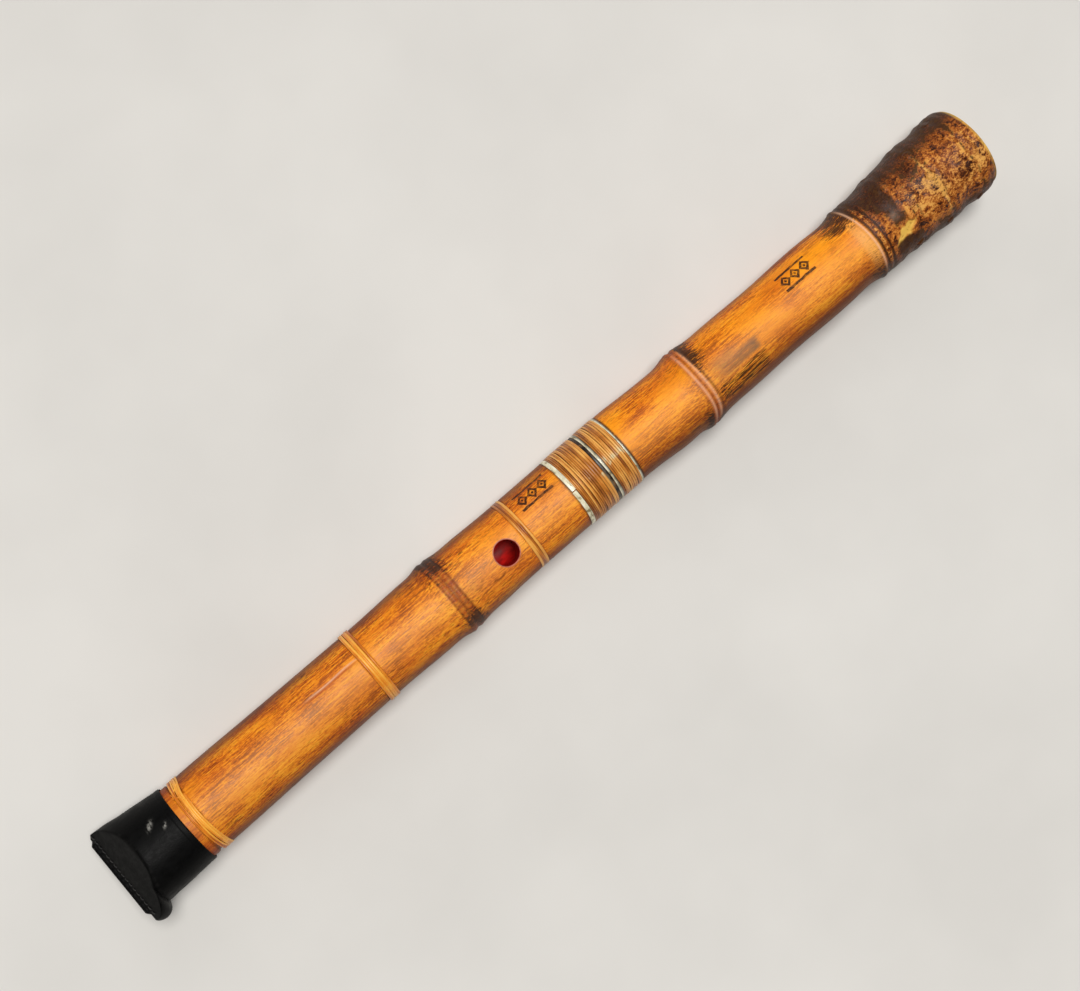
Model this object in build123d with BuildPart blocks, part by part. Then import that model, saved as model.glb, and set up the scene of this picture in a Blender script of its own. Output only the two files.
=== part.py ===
from build123d import *
import math
import os

# Bamboo end-blown flute in two sections, with a leather cap over its mouth end. Millimetres.
# The flute lies along X: the root end's bore opens at the origin, +X runs to the mouth, +Z is the thumb hole's side.

# Lengths along the flute, from the root end
flute_length = 484.8
joint_plane = 229.5
thumb_hole_x = 286.4
finger_hole_x = [111.0, 158.5, 206.0, 255.3]
hole_radius = 5.7
front_hole_radius = 5.5
hole_lacquer = 0.4

# Bore, with the lacquered lining that shapes it
mouth_bore_radius = 10.0
joint_bore_radius = 9.0
throat_bore_radius = 7.5
throat_x = 100.0
root_bore_radius = 8.75
root_bore_length = 25.0
lining_thickness = 1.4

# Bamboo outside: radius at each place along the culm, with a pair of ridges and a groove at every node
mouth_end_radius = 18.15
mouth_end_chamfer = 1.0
cap_zone_radius = 18.3
joint_core_radius = 17.0
root_rim_radius = 18.6
root_rim_depth = 5.0
root_rim_middle = (1.4, 20.9)
node_groove = 0.35
node_ridge_gap = 1.7
upper_node = (314.8, 19.25)
third_node = (170.9, 19.3)
fourth_node = (67.2, 19.2)
root_nodes = [(46.8, 20.3), (28.6, 21.5), (10.0, 21.9)]
root_stub_counts = [7, 9, 10]
root_stub_radius = 2.1
root_stub_height = 0.5
root_stub_root = 3.0
root_stub_taper = 8

# Rattan bindings, let into the bamboo: place along the flute and width
mouth_binding_span = (456.2, 461.2)
upper_binding_span = (359.7, 364.9)
thumb_binding_span = (272.5, 276.7)
mouth_binding_seat = 17.8
narrow_binding_seat = 17.0
mouth_binding_radius = 18.45
upper_binding_radius = 17.8
thumb_binding_radius = 17.5
binding_strands = 4
strand_bulge = 0.35

# Middle joint
upper_winding_span = (231.1, 245.3)
upper_winding_turns = 14
lower_winding_span = (217.7, 228.1)
lower_winding_turns = 10
winding_radius = 17.8
winding_bulge = 0.25
edge_ring_radius = 17.95
upper_ring_width = 2.2
upper_ring_radius = 17.85
upper_ring_split = 3.0
lower_ring_width = 1.1
tenon_radius = 12.2
tenon_above = 18.0
tenon_below = 16.5
joint_clearance = 0.05
socket_radius = 13.7
socket_end_gap = 0.3

# Blowing edge, on the front at the mouth end
edge_bevel_depth = 12.0
edge_bevel_start = 0.6
edge_inlay_thickness = 2.0
edge_inlay_half_width = 6.5
edge_inlay_half_width_inner = 4.5
edge_inlay_length = 8.5

# Leather cap
cap_mouth_x = 464.3
cap_end_x = 500.0
cap_outer_radius = 19.2
cap_inner_radius = 18.6
cap_end_half_width = 25.4
cap_inner_half_width = 24.2
cap_fold_x = 486.4
cap_fold_half_thickness = 1.2
cap_wall_at_fold = 0.9
cap_corner_radius = 3.0
cap_slit_half_thickness = 0.25
cap_turn = 22.0
cap_lining_radius = 18.38
cap_lining_outer_radius = 18.58
cap_lining_span = (466.3, 483.5)
welt_depth = 1.8
welt_half_thickness = 1.5
welt_half_width = 25.0
stitch_count = 17
stitch_length = 1.9
stitch_radius = 0.35
stitch_height = 0.25
stitch_row_inset = 2.6
stitch_pitch = 2.7

side_profile = Plane.XZ  # its first axis runs along the flute, its second is the radius


def node_points(node):
    """Two ridges with a groove between them, which stands for one bamboo node's ring."""
    x, radius = node
    return [
        (x - node_ridge_gap, radius - 0.1),
        (x, radius - node_groove),
        (x + node_ridge_gap, radius),
    ]


upper_outline = [
    (upper_winding_span[1] + upper_ring_width, 17.65),
    (268.0, 17.6),
    (288.0, 17.8),
    (303.5, 18.25),
    (309.5, 18.6),
    *node_points(upper_node),
    (320.5, 18.6),
    (328.5, 18.0),
    (348.5, 17.6),
    (379.0, 17.65),
    (414.0, 18.0),
    (449.0, 18.4),
    (cap_mouth_x, cap_zone_radius),
]
lower_outline = [
    (root_rim_depth, 21.7),
    *node_points(root_nodes[2]),
    (15.0, 21.5),
    (22.0, 21.1),
    *node_points(root_nodes[1]),
    (34.0, 20.9),
    (39.5, 20.2),
    *node_points(root_nodes[0]),
    (52.0, 19.7),
    (60.0, 19.0),
    *node_points(fourth_node),
    (72.5, 18.5),
    (86.0, 17.9),
    (123.0, 17.65),
    (154.0, 18.1),
    (165.0, 18.7),
    *node_points(third_node),
    (177.0, 18.5),
    (187.0, 17.9),
    (204.0, 17.7),
    (lower_winding_span[0] - lower_ring_width, 17.65),
]
bore_outline = [
    (0.0, root_bore_radius),
    (root_bore_length, root_bore_radius),
    (throat_x, throat_bore_radius),
    (joint_plane, joint_bore_radius),
    (flute_length, mouth_bore_radius),
]


def bore_radius(x):
    """Radius of the finished bore at x, tapering in straight runs between the places in its outline."""
    for (x0, r0), (x1, r1) in zip(bore_outline, bore_outline[1:]):
        if x <= x1:
            return r0 + (r1 - r0) * (x - x0) / (x1 - x0)
    return mouth_bore_radius


def bore_points(start, end, extra):
    """Points of the bore from start to end, wider by extra."""
    inside = [(x, r + extra) for x, r in bore_outline if start < x < end]
    return [(start, bore_radius(start) + extra), *inside, (end, bore_radius(end) + extra)]


def hole_plane(side):
    """Plane through the flute's axis from which a hole's tool is drawn towards +Z or -Z."""
    return Plane((0, 0, 0), x_dir=(1, 0, 0), z_dir=(0, 0, side))


def cut_holes(places, side, radius):
    """Cuts holes of one radius, from the axis out through one side."""
    with BuildSketch(hole_plane(side)) as circles:
        with Locations(*[(x, 0) for x in places]):
            Circle(radius)
    extrude(circles.sketch, amount=root_nodes[2][1], mode=Mode.SUBTRACT)


def fill_holes(places, side, radius):
    """Adds solid plugs, from the axis out, which become the lacquered walls of holes."""
    with BuildSketch(hole_plane(side)) as circles:
        with Locations(*[(x, 0) for x in places]):
            Circle(radius)
    extrude(circles.sketch, amount=joint_core_radius - hole_lacquer)


def turned(points):
    """Turns a closed outline about the flute's axis and adds it."""
    with BuildSketch(side_profile) as profile:
        with BuildLine():
            Polyline(*points, close=True)
        make_face()
    revolve(profile.sketch, axis=Axis.X)


def cut_turned(points):
    """Turns a closed outline about the flute's axis and removes it."""
    with BuildSketch(side_profile) as profile:
        with BuildLine():
            Polyline(*points, close=True)
        make_face()
    revolve(profile.sketch, axis=Axis.X, mode=Mode.SUBTRACT)


def cut_band(start, end, radius):
    """Turns the outside down to a radius between two places."""
    outside = root_nodes[2][1] + 1.0
    cut_turned([(start, radius), (end, radius), (end, outside), (start, outside)])


def cut_bore(start, end, extra):
    """Opens the bore between two places, wider than the finished bore by extra."""
    points = bore_points(start, end, extra)
    cut_turned([(start, 0), *points, (end, 0)])


def band(start, end, inner, outer):
    """A plain ring about the flute's axis."""
    turned([(start, inner), (end, inner), (end, outer), (start, outer)])


def bulged_band(start, end, inner, outer, count, bulge):
    """A ring whose outside is count strands lying side by side, each bulging out by bulge."""
    pitch = (end - start) / count
    with BuildSketch(side_profile) as profile:
        with BuildLine():
            Polyline((start, outer), (start, inner), (end, inner), (end, outer))
            for strand in range(count):
                left = start + strand * pitch
                ThreePointArc((left, outer), (left + pitch / 2, outer + bulge), (left + pitch, outer))
        make_face()
    revolve(profile.sketch, axis=Axis.X)


def bevel_points(offset):
    """Wedge in the XZ plane beyond the blowing edge's slanted cut, moved inwards by offset."""
    rim = -mouth_bore_radius
    drop = mouth_end_radius - mouth_bore_radius
    shift = offset * math.hypot(edge_bevel_depth, drop) / edge_bevel_depth
    top = rim - edge_bevel_start + shift
    bottom = top - drop * 1.5
    return [
        (flute_length + 1.0, top + drop / edge_bevel_depth),
        (flute_length - edge_bevel_depth * 1.5, bottom),
        (flute_length + 1.0, bottom),
    ]


def bevel(offset, mode):
    """Uses the wedge beyond the blowing edge's cut, across the whole flute."""
    with BuildSketch(side_profile) as wedge:
        with BuildLine():
            Polyline(*bevel_points(offset), close=True)
        make_face()
    extrude(wedge.sketch, amount=mouth_end_radius, both=True, mode=mode)


def inlay_block(mode):
    """Uses the block that bounds the horn inlay, narrower towards the root end."""
    with BuildSketch(Plane.XY) as outline:
        with BuildLine():
            Polyline(
                (flute_length - edge_inlay_length, -edge_inlay_half_width_inner),
                (flute_length + 1.0, -edge_inlay_half_width),
                (flute_length + 1.0, edge_inlay_half_width),
                (flute_length - edge_inlay_length, edge_inlay_half_width_inner),
                close=True,
            )
        make_face()
    extrude(outline.sketch, amount=-root_nodes[2][1], mode=mode)


# Horn inlay: the slab just under the slanted cut, from the bore to the outside
with BuildPart() as mouth_edge_inlay:
    inlay_block(Mode.ADD)
    bevel(edge_inlay_thickness, Mode.INTERSECT)
    bevel(0, Mode.SUBTRACT)
    with BuildSketch(Plane.YZ.offset(flute_length - 2 * edge_bevel_depth)):
        Circle(mouth_end_radius - mouth_end_chamfer)
    extrude(amount=2 * edge_bevel_depth, mode=Mode.INTERSECT)
    cut_bore(flute_length - 2 * edge_bevel_depth, flute_length, 0)

# Upper section of the culm
with BuildPart() as upper_tube:
    with BuildSketch(side_profile):
        with BuildLine():
            Spline(*upper_outline)
            Polyline(
                upper_outline[-1],
                (flute_length - mouth_end_chamfer, mouth_end_radius),
                (flute_length, mouth_end_radius - mouth_end_chamfer),
                (flute_length, 0),
                (joint_plane, 0),
                (joint_plane, joint_core_radius),
                (upper_outline[0][0], joint_core_radius),
                upper_outline[0],
            )
        make_face()
    revolve(axis=Axis.X)
    cut_bore(joint_plane, flute_length, lining_thickness)
    cut_turned(
        [
            (joint_plane, 0),
            (joint_plane, tenon_radius),
            (joint_plane + tenon_above, tenon_radius),
            (joint_plane + tenon_above, 0),
        ]
    )
    cut_holes([thumb_hole_x], 1, hole_radius + hole_lacquer)
    cut_holes([finger_hole_x[3]], -1, front_hole_radius + hole_lacquer)
    cut_band(*mouth_binding_span, mouth_binding_seat)
    cut_band(*upper_binding_span, narrow_binding_seat)
    cut_band(*thumb_binding_span, narrow_binding_seat)
    bevel(0, Mode.SUBTRACT)
    add(mouth_edge_inlay.part, mode=Mode.SUBTRACT)


def line_holes(places, side, radius):
    """Lines holes with lacquer: plugs of the wall's outer radius, to be opened again later."""
    fill_holes(places, side, radius + hole_lacquer)


# Lacquered lining of the upper bore, with the walls of its two holes
lining_start = joint_plane + tenon_above
with BuildPart() as upper_bore_lining:
    turned([(lining_start, 0), *bore_points(lining_start, flute_length, lining_thickness), (flute_length, 0)])
    line_holes([thumb_hole_x], 1, hole_radius)
    line_holes([finger_hole_x[3]], -1, front_hole_radius)
    cut_bore(lining_start, flute_length, 0)
    cut_holes([thumb_hole_x], 1, hole_radius)
    cut_holes([finger_hole_x[3]], -1, front_hole_radius)
    bevel(0, Mode.SUBTRACT)
    add(mouth_edge_inlay.part, mode=Mode.SUBTRACT)

# Rattan bindings of the upper section
with BuildPart() as mouth_binding:
    bulged_band(*mouth_binding_span, mouth_binding_seat, mouth_binding_radius, binding_strands, strand_bulge)
with BuildPart() as upper_binding:
    bulged_band(*upper_binding_span, narrow_binding_seat, upper_binding_radius, binding_strands, strand_bulge)
with BuildPart() as thumb_binding:
    bulged_band(
        *thumb_binding_span,
        narrow_binding_seat,
        thumb_binding_radius,
        binding_strands,
        winding_bulge,
    )

# Middle joint, upper half: thin ring on the mating face, cane winding, then a wide split ring
with BuildPart() as upper_edge_ring:
    band(joint_plane, upper_winding_span[0], joint_core_radius, edge_ring_radius)
with BuildPart() as upper_joint_winding:
    bulged_band(
        *upper_winding_span,
        joint_core_radius,
        winding_radius,
        upper_winding_turns,
        winding_bulge,
    )
with BuildPart() as upper_joint_ring:
    with BuildSketch(side_profile):
        with Locations((upper_winding_span[1], joint_core_radius)):
            Rectangle(
                upper_ring_width,
                upper_ring_radius - joint_core_radius,
                align=(Align.MIN, Align.MIN),
            )
    revolve(axis=Axis.X, revolution_arc=360 - upper_ring_split)

# Tenon, glued into the upper section, which slides into the lower section's socket
with BuildPart() as joint_tenon:
    tenon_end = joint_plane - tenon_below
    tenon_top = joint_plane + tenon_above
    turned([*bore_points(tenon_end, tenon_top, 0), (tenon_top, tenon_radius), (tenon_end, tenon_radius)])

# Middle joint, lower half
socket_end = joint_plane - tenon_below - socket_end_gap
with BuildPart() as joint_socket:
    band(socket_end, joint_plane, tenon_radius + joint_clearance, socket_radius)
with BuildPart() as lower_edge_ring:
    band(lower_winding_span[1], joint_plane, joint_core_radius, edge_ring_radius)
with BuildPart() as lower_joint_winding:
    bulged_band(
        *lower_winding_span,
        joint_core_radius,
        winding_radius,
        lower_winding_turns,
        winding_bulge,
    )
with BuildPart() as lower_joint_ring:
    band(
        lower_winding_span[0] - lower_ring_width,
        lower_winding_span[0],
        joint_core_radius,
        edge_ring_radius,
    )


def root_stubs(node, count):
    """Stumps of cut-off roots in a ring round one root node."""
    x, radius = node
    for stub in range(count):
        turn = math.radians(360 * (stub + 0.5) / count)
        outwards = (0, math.cos(turn), math.sin(turn))
        foot_radius = radius - root_stub_root
        foot = (x + node_ridge_gap, foot_radius * outwards[1], foot_radius * outwards[2])
        with BuildSketch(Plane(foot, x_dir=(1, 0, 0), z_dir=outwards)) as stump:
            Circle(root_stub_radius)
        extrude(stump.sketch, amount=root_stub_root + root_stub_height, taper=root_stub_taper)


# Lower section of the culm, down to the root end
with BuildPart() as lower_tube:
    with BuildSketch(side_profile):
        with BuildLine():
            Spline(*lower_outline)
            ThreePointArc((0, root_rim_radius), root_rim_middle, lower_outline[0])
            Polyline(
                (0, root_rim_radius),
                (0, 0),
                (joint_plane, 0),
                (joint_plane, joint_core_radius),
                (lower_outline[-1][0], joint_core_radius),
                lower_outline[-1],
            )
        make_face()
    revolve(axis=Axis.X)
    for node, count in zip(root_nodes, root_stub_counts):
        root_stubs(node, count)
    cut_bore(0, joint_plane, lining_thickness)
    cut_turned(
        [
            (socket_end, 0),
            (socket_end, socket_radius),
            (joint_plane, socket_radius),
            (joint_plane, 0),
        ]
    )
    cut_holes(finger_hole_x[:3], -1, front_hole_radius + hole_lacquer)

# Lacquered lining of the lower bore, with the walls of its three holes
with BuildPart() as lower_bore_lining:
    turned([(0, 0), *bore_points(0, socket_end, lining_thickness), (socket_end, 0)])
    line_holes(finger_hole_x[:3], -1, front_hole_radius)
    cut_bore(0, socket_end, 0)
    cut_holes(finger_hole_x[:3], -1, front_hole_radius)


def cap_shape(mouth_radius, half_width, shift, end_half_thickness, mode):
    """The cap's form: a round mouth that widens sideways, cut by two slanting faces that meet at the seam."""
    with BuildSketch(Plane.YZ.offset(cap_mouth_x)) as round_end:
        Circle(mouth_radius)
    with BuildSketch(Plane.YZ.offset(cap_end_x)) as wide_end:
        Ellipse(half_width, mouth_radius)
    slant = (cap_end_x - cap_fold_x) / (cap_outer_radius - cap_fold_half_thickness)
    above = 2 * cap_outer_radius
    seam_x = cap_end_x - shift + slant * (cap_fold_half_thickness - end_half_thickness)
    side_points = [
        (cap_mouth_x, above),
        (seam_x - slant * (above - end_half_thickness), above),
        (seam_x, end_half_thickness),
    ]
    mirrored = [(x, -z) for x, z in reversed(side_points)]
    with BuildSketch(side_profile) as side_view:
        with BuildLine():
            Polyline(*side_points, *mirrored, close=True)
        make_face()
    with BuildSketch(Plane.XY) as plan_view:
        with BuildLine():
            Polyline(
                (cap_mouth_x, -half_width),
                (seam_x, -half_width),
                (seam_x, half_width),
                (cap_mouth_x, half_width),
                close=True,
            )
        make_face()
        fillet(plan_view.vertices().group_by(Axis.X)[-1], cap_corner_radius)
    with BuildPart(mode=Mode.PRIVATE) as form:
        loft([round_end.sketch, wide_end.sketch])
        extrude(side_view.sketch, amount=above, both=True, mode=Mode.INTERSECT)
        extrude(plan_view.sketch, amount=above, both=True, mode=Mode.INTERSECT)
    add(form.part, mode=mode)


# Leather cap: a sleeve pinched flat at its end, with a felt band inside and a folded welt over the seam
cap_slant_angle = math.atan2(cap_outer_radius - cap_fold_half_thickness, cap_end_x - cap_fold_x)
with BuildPart() as cap_sleeve:
    cap_shape(cap_outer_radius, cap_end_half_width, 0, cap_fold_half_thickness, Mode.ADD)
    cap_shape(
        cap_inner_radius,
        cap_inner_half_width,
        cap_wall_at_fold / math.sin(cap_slant_angle),
        cap_slit_half_thickness,
        Mode.SUBTRACT,
    )
with BuildPart() as cap_lining:
    band(*cap_lining_span, cap_lining_radius, cap_lining_outer_radius)
with BuildPart() as cap_end_welt:
    with BuildSketch(side_profile) as welt_section:
        with Locations((cap_end_x, 0)):
            Rectangle(welt_depth, 2 * welt_half_thickness, align=(Align.MIN, Align.CENTER))
        fillet(welt_section.vertices().group_by(Axis.X)[-1], 0.8 * welt_half_thickness)
    extrude(amount=welt_half_width - cap_corner_radius, both=True)


def stitch_row(side):
    """One row of stitches along the seam, on the slanting face above (1) or below (-1) it."""
    along = (math.cos(cap_slant_angle), 0, -side * math.sin(cap_slant_angle))
    outwards = (math.sin(cap_slant_angle), 0, side * math.cos(cap_slant_angle))
    seam = Vector(cap_end_x, 0, side * cap_fold_half_thickness)
    row = seam - Vector(*along) * stitch_row_inset
    with BuildSketch(Plane(row, x_dir=(0, 1, 0), z_dir=outwards)) as stitches:
        with GridLocations(stitch_pitch, stitch_pitch, stitch_count, 1):
            SlotOverall(stitch_length, 2 * stitch_radius)
    extrude(stitches.sketch, amount=stitch_height)


with BuildPart() as cap_stitching:
    stitch_row(1)
    stitch_row(-1)

# The cap sits turned on the flute, so that its seam lies aslant
for cap_piece in (cap_sleeve, cap_end_welt, cap_stitching):
    cap_piece.part = cap_piece.part.rotate(Axis.X, cap_turn)

pieces = {
    "upper_tube": upper_tube,
    "mouth_edge_inlay": mouth_edge_inlay,
    "upper_bore_lining": upper_bore_lining,
    "mouth_binding": mouth_binding,
    "upper_binding": upper_binding,
    "thumb_binding": thumb_binding,
    "upper_joint_ring": upper_joint_ring,
    "upper_joint_winding": upper_joint_winding,
    "upper_edge_ring": upper_edge_ring,
    "joint_tenon": joint_tenon,
    "lower_tube": lower_tube,
    "lower_bore_lining": lower_bore_lining,
    "joint_socket": joint_socket,
    "lower_edge_ring": lower_edge_ring,
    "lower_joint_winding": lower_joint_winding,
    "lower_joint_ring": lower_joint_ring,
    "cap_sleeve": cap_sleeve,
    "cap_lining": cap_lining,
    "cap_end_welt": cap_end_welt,
    "cap_stitching": cap_stitching,
}
os.makedirs("parts", exist_ok=True)
for label, piece in pieces.items():
    piece.part.label = label
    export_step(piece.part, f"parts/{label}.step")
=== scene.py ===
"""Looks of the bamboo flute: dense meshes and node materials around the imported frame.

The script counts in millimetres, from the root end along X, and sheet() turns them into metres. An angle runs
round the flute from its top, the thumb hole's side, towards +Y.
"""

import math

import bmesh
import bpy
import numpy as np
from mathutils import Matrix, Vector


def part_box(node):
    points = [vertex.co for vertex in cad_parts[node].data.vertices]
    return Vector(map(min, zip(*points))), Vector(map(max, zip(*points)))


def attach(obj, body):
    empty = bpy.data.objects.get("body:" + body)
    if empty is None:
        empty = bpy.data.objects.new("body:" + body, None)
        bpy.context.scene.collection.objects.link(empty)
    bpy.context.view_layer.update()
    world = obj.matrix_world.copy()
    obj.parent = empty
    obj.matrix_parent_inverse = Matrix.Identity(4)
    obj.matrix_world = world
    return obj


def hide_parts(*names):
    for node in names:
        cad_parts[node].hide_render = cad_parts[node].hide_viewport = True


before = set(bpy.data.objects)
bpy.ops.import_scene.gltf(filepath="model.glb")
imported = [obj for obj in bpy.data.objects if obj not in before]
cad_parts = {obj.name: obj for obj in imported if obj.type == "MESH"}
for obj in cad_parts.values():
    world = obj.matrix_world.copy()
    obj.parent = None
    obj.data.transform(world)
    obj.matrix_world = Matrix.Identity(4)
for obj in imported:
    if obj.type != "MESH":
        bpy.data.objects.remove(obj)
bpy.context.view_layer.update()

MM = 0.001
TAU = 2 * math.pi
SEED = 16
UPPER, LOWER, CAP = "upper_section", "lower_section", "cap"
LININGS = {UPPER: "upper_bore_lining", LOWER: "lower_bore_lining"}
BINDINGS = {"mouth_binding": 0.45, "upper_binding": 0.4, "thumb_binding": 0.4}  # depth of each one's seat

# ---------------------------------------------------------------- places, all taken from the frame


def vertices(piece):
    """Vertices of a piece's mesh, one in each row."""
    co = np.zeros(len(piece.data.vertices) * 3)
    piece.data.vertices.foreach_get("co", co)
    return co.reshape(-1, 3) / MM


def corners_of(node):
    return vertices(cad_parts[node])


def span(node):
    """Lowest and highest place of a node along the flute."""
    low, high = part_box(node)
    return low.x / MM, high.x / MM


def outer(node):
    """Largest radius of a round node."""
    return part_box(node)[1].y / MM


def rim_radius(node, x):
    """Largest radius of a CAD node's corners at one place along the flute."""
    place, across, up = corners_of(node).T
    return np.hypot(across, up)[np.abs(place - x) < 0.05].max()


def skin(node, start, end, step=0.4):
    """Outer radius of a CAD tube along its side, away from its holes and stumps, as (places, radii)."""
    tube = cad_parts[node]
    places = np.arange(start + step / 2, end, step)
    radii = []
    for x in places:
        hit, point, _, _ = tube.ray_cast(Vector((x * MM, 0.1, 0.0)), Vector((0, -1, 0)))
        radii.append(math.hypot(point.y, point.z) / MM if hit else radii[-1])
    kernel = np.exp(-0.5 * (np.arange(-3, 4) / 1.2) ** 2)
    kernel /= kernel.sum()
    padded = np.pad(np.array(radii), 3, mode="edge")
    return places, np.convolve(padded, kernel, mode="valid")


def hole_places(lining, side):
    """Centres along the flute of the holes whose lacquered walls stand up from a bore lining on one side."""
    places, _, heights = corners_of(lining).T
    standing = np.sort(places[side * heights > max(side * heights) - 0.5])
    breaks = np.nonzero(np.diff(standing) > 10)[0] + 1
    return [float((g.min() + g.max()) / 2) for g in np.split(standing, breaks)]


def unturned(node, turn):
    """Lowest and highest corner of a CAD node once it is turned back about the flute's axis."""
    corners = corners_of(node) @ np.array(Matrix.Rotation(turn, 3, "X"))
    return corners.min(axis=0), corners.max(axis=0)


joint_x, mouth_x = span("upper_tube")
root_x = span("lower_tube")[0]
upper_ring_x = span("upper_joint_ring")[1]
lower_ring_x = span("lower_joint_ring")[0]
hole_radius = 5.7
front_hole_radius = 5.5
lacquer = 0.4
thumb_x = hole_places(LININGS[UPPER], 1)[0]
upper_front_x = hole_places(LININGS[UPPER], -1)
lower_front_x = hole_places(LININGS[LOWER], -1)
core_radius = 17.0

# Nodes of the culm
node_two = 314.8
node_three = 170.9
node_four = 67.9
node_five = 46.8
node_six = 28.6
node_seven = 10.0

# Burnt ornaments: place along the flute and angle from the top
upper_ornament = (260.3, math.radians(-44))
lower_ornament = (106.2, math.radians(-33))

# ---------------------------------------------------------------- mesh helpers


def waves(x, angle, length, turns, count, seed):
    """Smooth repeatable noise over a tube, about -1 to 1.

    length is its shortest wave along the tube and turns the most waves round it.
    """
    draw = np.random.default_rng(SEED + seed)
    total = np.zeros(np.broadcast(x, angle).shape)
    for _ in range(count):
        around = draw.integers(-turns, turns + 1)
        along = draw.uniform(-1, 1) * TAU / length
        total += np.cos(around * angle + along * x + draw.uniform(0, TAU))
    return total / math.sqrt(count)


def bump_at(x, centre, width):
    """Smooth bell of height 1 at centre."""
    return np.exp(-(((x - centre) / width) ** 2))


def bumps(x, *bells):
    """Sum of smooth bells; each is (centre, width, height)."""
    return sum(height * bump_at(x, centre, width) for centre, width, height in bells)


def step_up(x, start, end):
    """Smooth step from 0 at start to 1 at end, or down if end is less than start."""
    t = np.clip((x - start) / (end - start), 0, 1)
    return t * t * (3 - 2 * t)


def within(x, start, end, soft):
    """1 between start and end, falling smoothly to 0 over soft at both."""
    return step_up(x, start - soft / 2, start + soft / 2) * step_up(x, end + soft / 2, end - soft / 2)


def turn_gap(angle, centre):
    """Signed difference between two angles, in radians, in the short way round."""
    return (angle - centre + math.pi) % TAU - math.pi


def beside(angle, centre, width):
    """Smooth bell of height 1 at an angle given in degrees; its width is in radians."""
    return bump_at(turn_gap(angle, math.radians(centre)), 0, width)


def facing(angle, centre, half_width, soft):
    """1 within half_width degrees of an angle given in degrees, falling smoothly to 0 over soft degrees."""
    gap = np.degrees(np.abs(turn_gap(angle, math.radians(centre))))
    return step_up(gap, half_width + soft / 2, half_width - soft / 2)


def polar(x, radius, angle):
    """Points from a place along the flute, a radius and an angle from the top towards +Y."""
    x, radius, angle = np.broadcast_arrays(x, radius, angle)
    return np.stack([x, radius * np.sin(angle), radius * np.cos(angle)], axis=-1)


def sheet(name, points, wrap_rows=False, wrap_columns=False, cap_ends=False):
    """Mesh object from a grid of points, closed round either way, or with its two end rows filled."""
    rows, columns = points.shape[:2]
    index = np.arange(rows * columns).reshape(rows, columns)
    if wrap_rows:
        index = np.vstack([index, index[:1]])
    if wrap_columns:
        index = np.hstack([index, index[:, :1]])
    a, b = index[:-1, :-1].ravel(), index[:-1, 1:].ravel()
    c, d = index[1:, 1:].ravel(), index[1:, :-1].ravel()
    faces = np.stack([a, b, c, d], axis=1).tolist()
    if cap_ends:
        faces.append(list(range(columns))[::-1])
        faces.append(list(range((rows - 1) * columns, rows * columns)))
    mesh = bpy.data.meshes.new(name)
    mesh.from_pydata((points.reshape(-1, 3) * MM).tolist(), [], faces)
    mesh.validate()
    piece = bpy.data.objects.new(name, mesh)
    bpy.context.scene.collection.objects.link(piece)
    tidy_normals(piece)
    return piece


def tidy_normals(piece, sharp=40):
    """Points normals outwards and shades smooth, except over edges sharper than an angle in degrees."""
    work = bmesh.new()
    work.from_mesh(piece.data)
    bmesh.ops.recalc_face_normals(work, faces=work.faces)
    work.to_mesh(piece.data)
    work.free()
    piece.data.polygons.foreach_set("use_smooth", [True] * len(piece.data.polygons))
    piece.data.set_sharp_from_angle(angle=math.radians(sharp))


def join(name, parts):
    """One object from several, which are removed."""
    work = bmesh.new()
    for part in parts:
        work.from_mesh(part.data)
        bpy.data.objects.remove(part)
    mesh = bpy.data.meshes.new(name)
    work.to_mesh(mesh)
    work.free()
    piece = bpy.data.objects.new(name, mesh)
    bpy.context.scene.collection.objects.link(piece)
    tidy_normals(piece)
    return piece


def cut(piece, cutters):
    """Takes closed cutters out of a piece and removes them."""
    for cutter in cutters:
        tool = piece.modifiers.new("cut", "BOOLEAN")
        tool.operation = "DIFFERENCE"
        tool.solver = "EXACT"
        tool.object = cutter
    graph = bpy.context.evaluated_depsgraph_get()
    mesh = bpy.data.meshes.new_from_object(piece.evaluated_get(graph), depsgraph=graph)
    piece.modifiers.clear()
    piece.data = mesh
    for cutter in cutters:
        bpy.data.objects.remove(cutter)
    tidy_normals(piece)


def corner_places(piece):
    """Place along the flute, angle from the top towards +Y, and radius of each of a piece's vertices."""
    x, y, z = vertices(piece).T
    return x, np.arctan2(y, z), np.hypot(y, z)


def mark(piece, name, values):
    """Stores one number, from 0 to 1, for each vertex, which a material reads by its name."""
    layer = piece.data.attributes.new(name, "FLOAT", "POINT")
    layer.data.foreach_set("value", np.clip(values, 0, 1).astype(np.float32))


def finish_piece(piece, body, slot, material, *replaced):
    """Gives a piece its material, body and the CAD nodes that it stands for; slot is not used."""
    piece.data.materials.clear()
    piece.data.materials.append(material)
    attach(piece, body)
    if replaced:
        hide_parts(*replaced)
    return piece


# ---------------------------------------------------------------- material helpers


class Value:
    """Output of a step in a node material, which can be added to and multiplied."""

    def __init__(self, shader, socket):
        self.shader, self.socket = shader, socket

    def __add__(self, other):
        return self.shader.maths("ADD", self, other)

    def __sub__(self, number):
        return self + -number

    def __mul__(self, other):
        return self.shader.maths("MULTIPLY", self, other)


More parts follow.
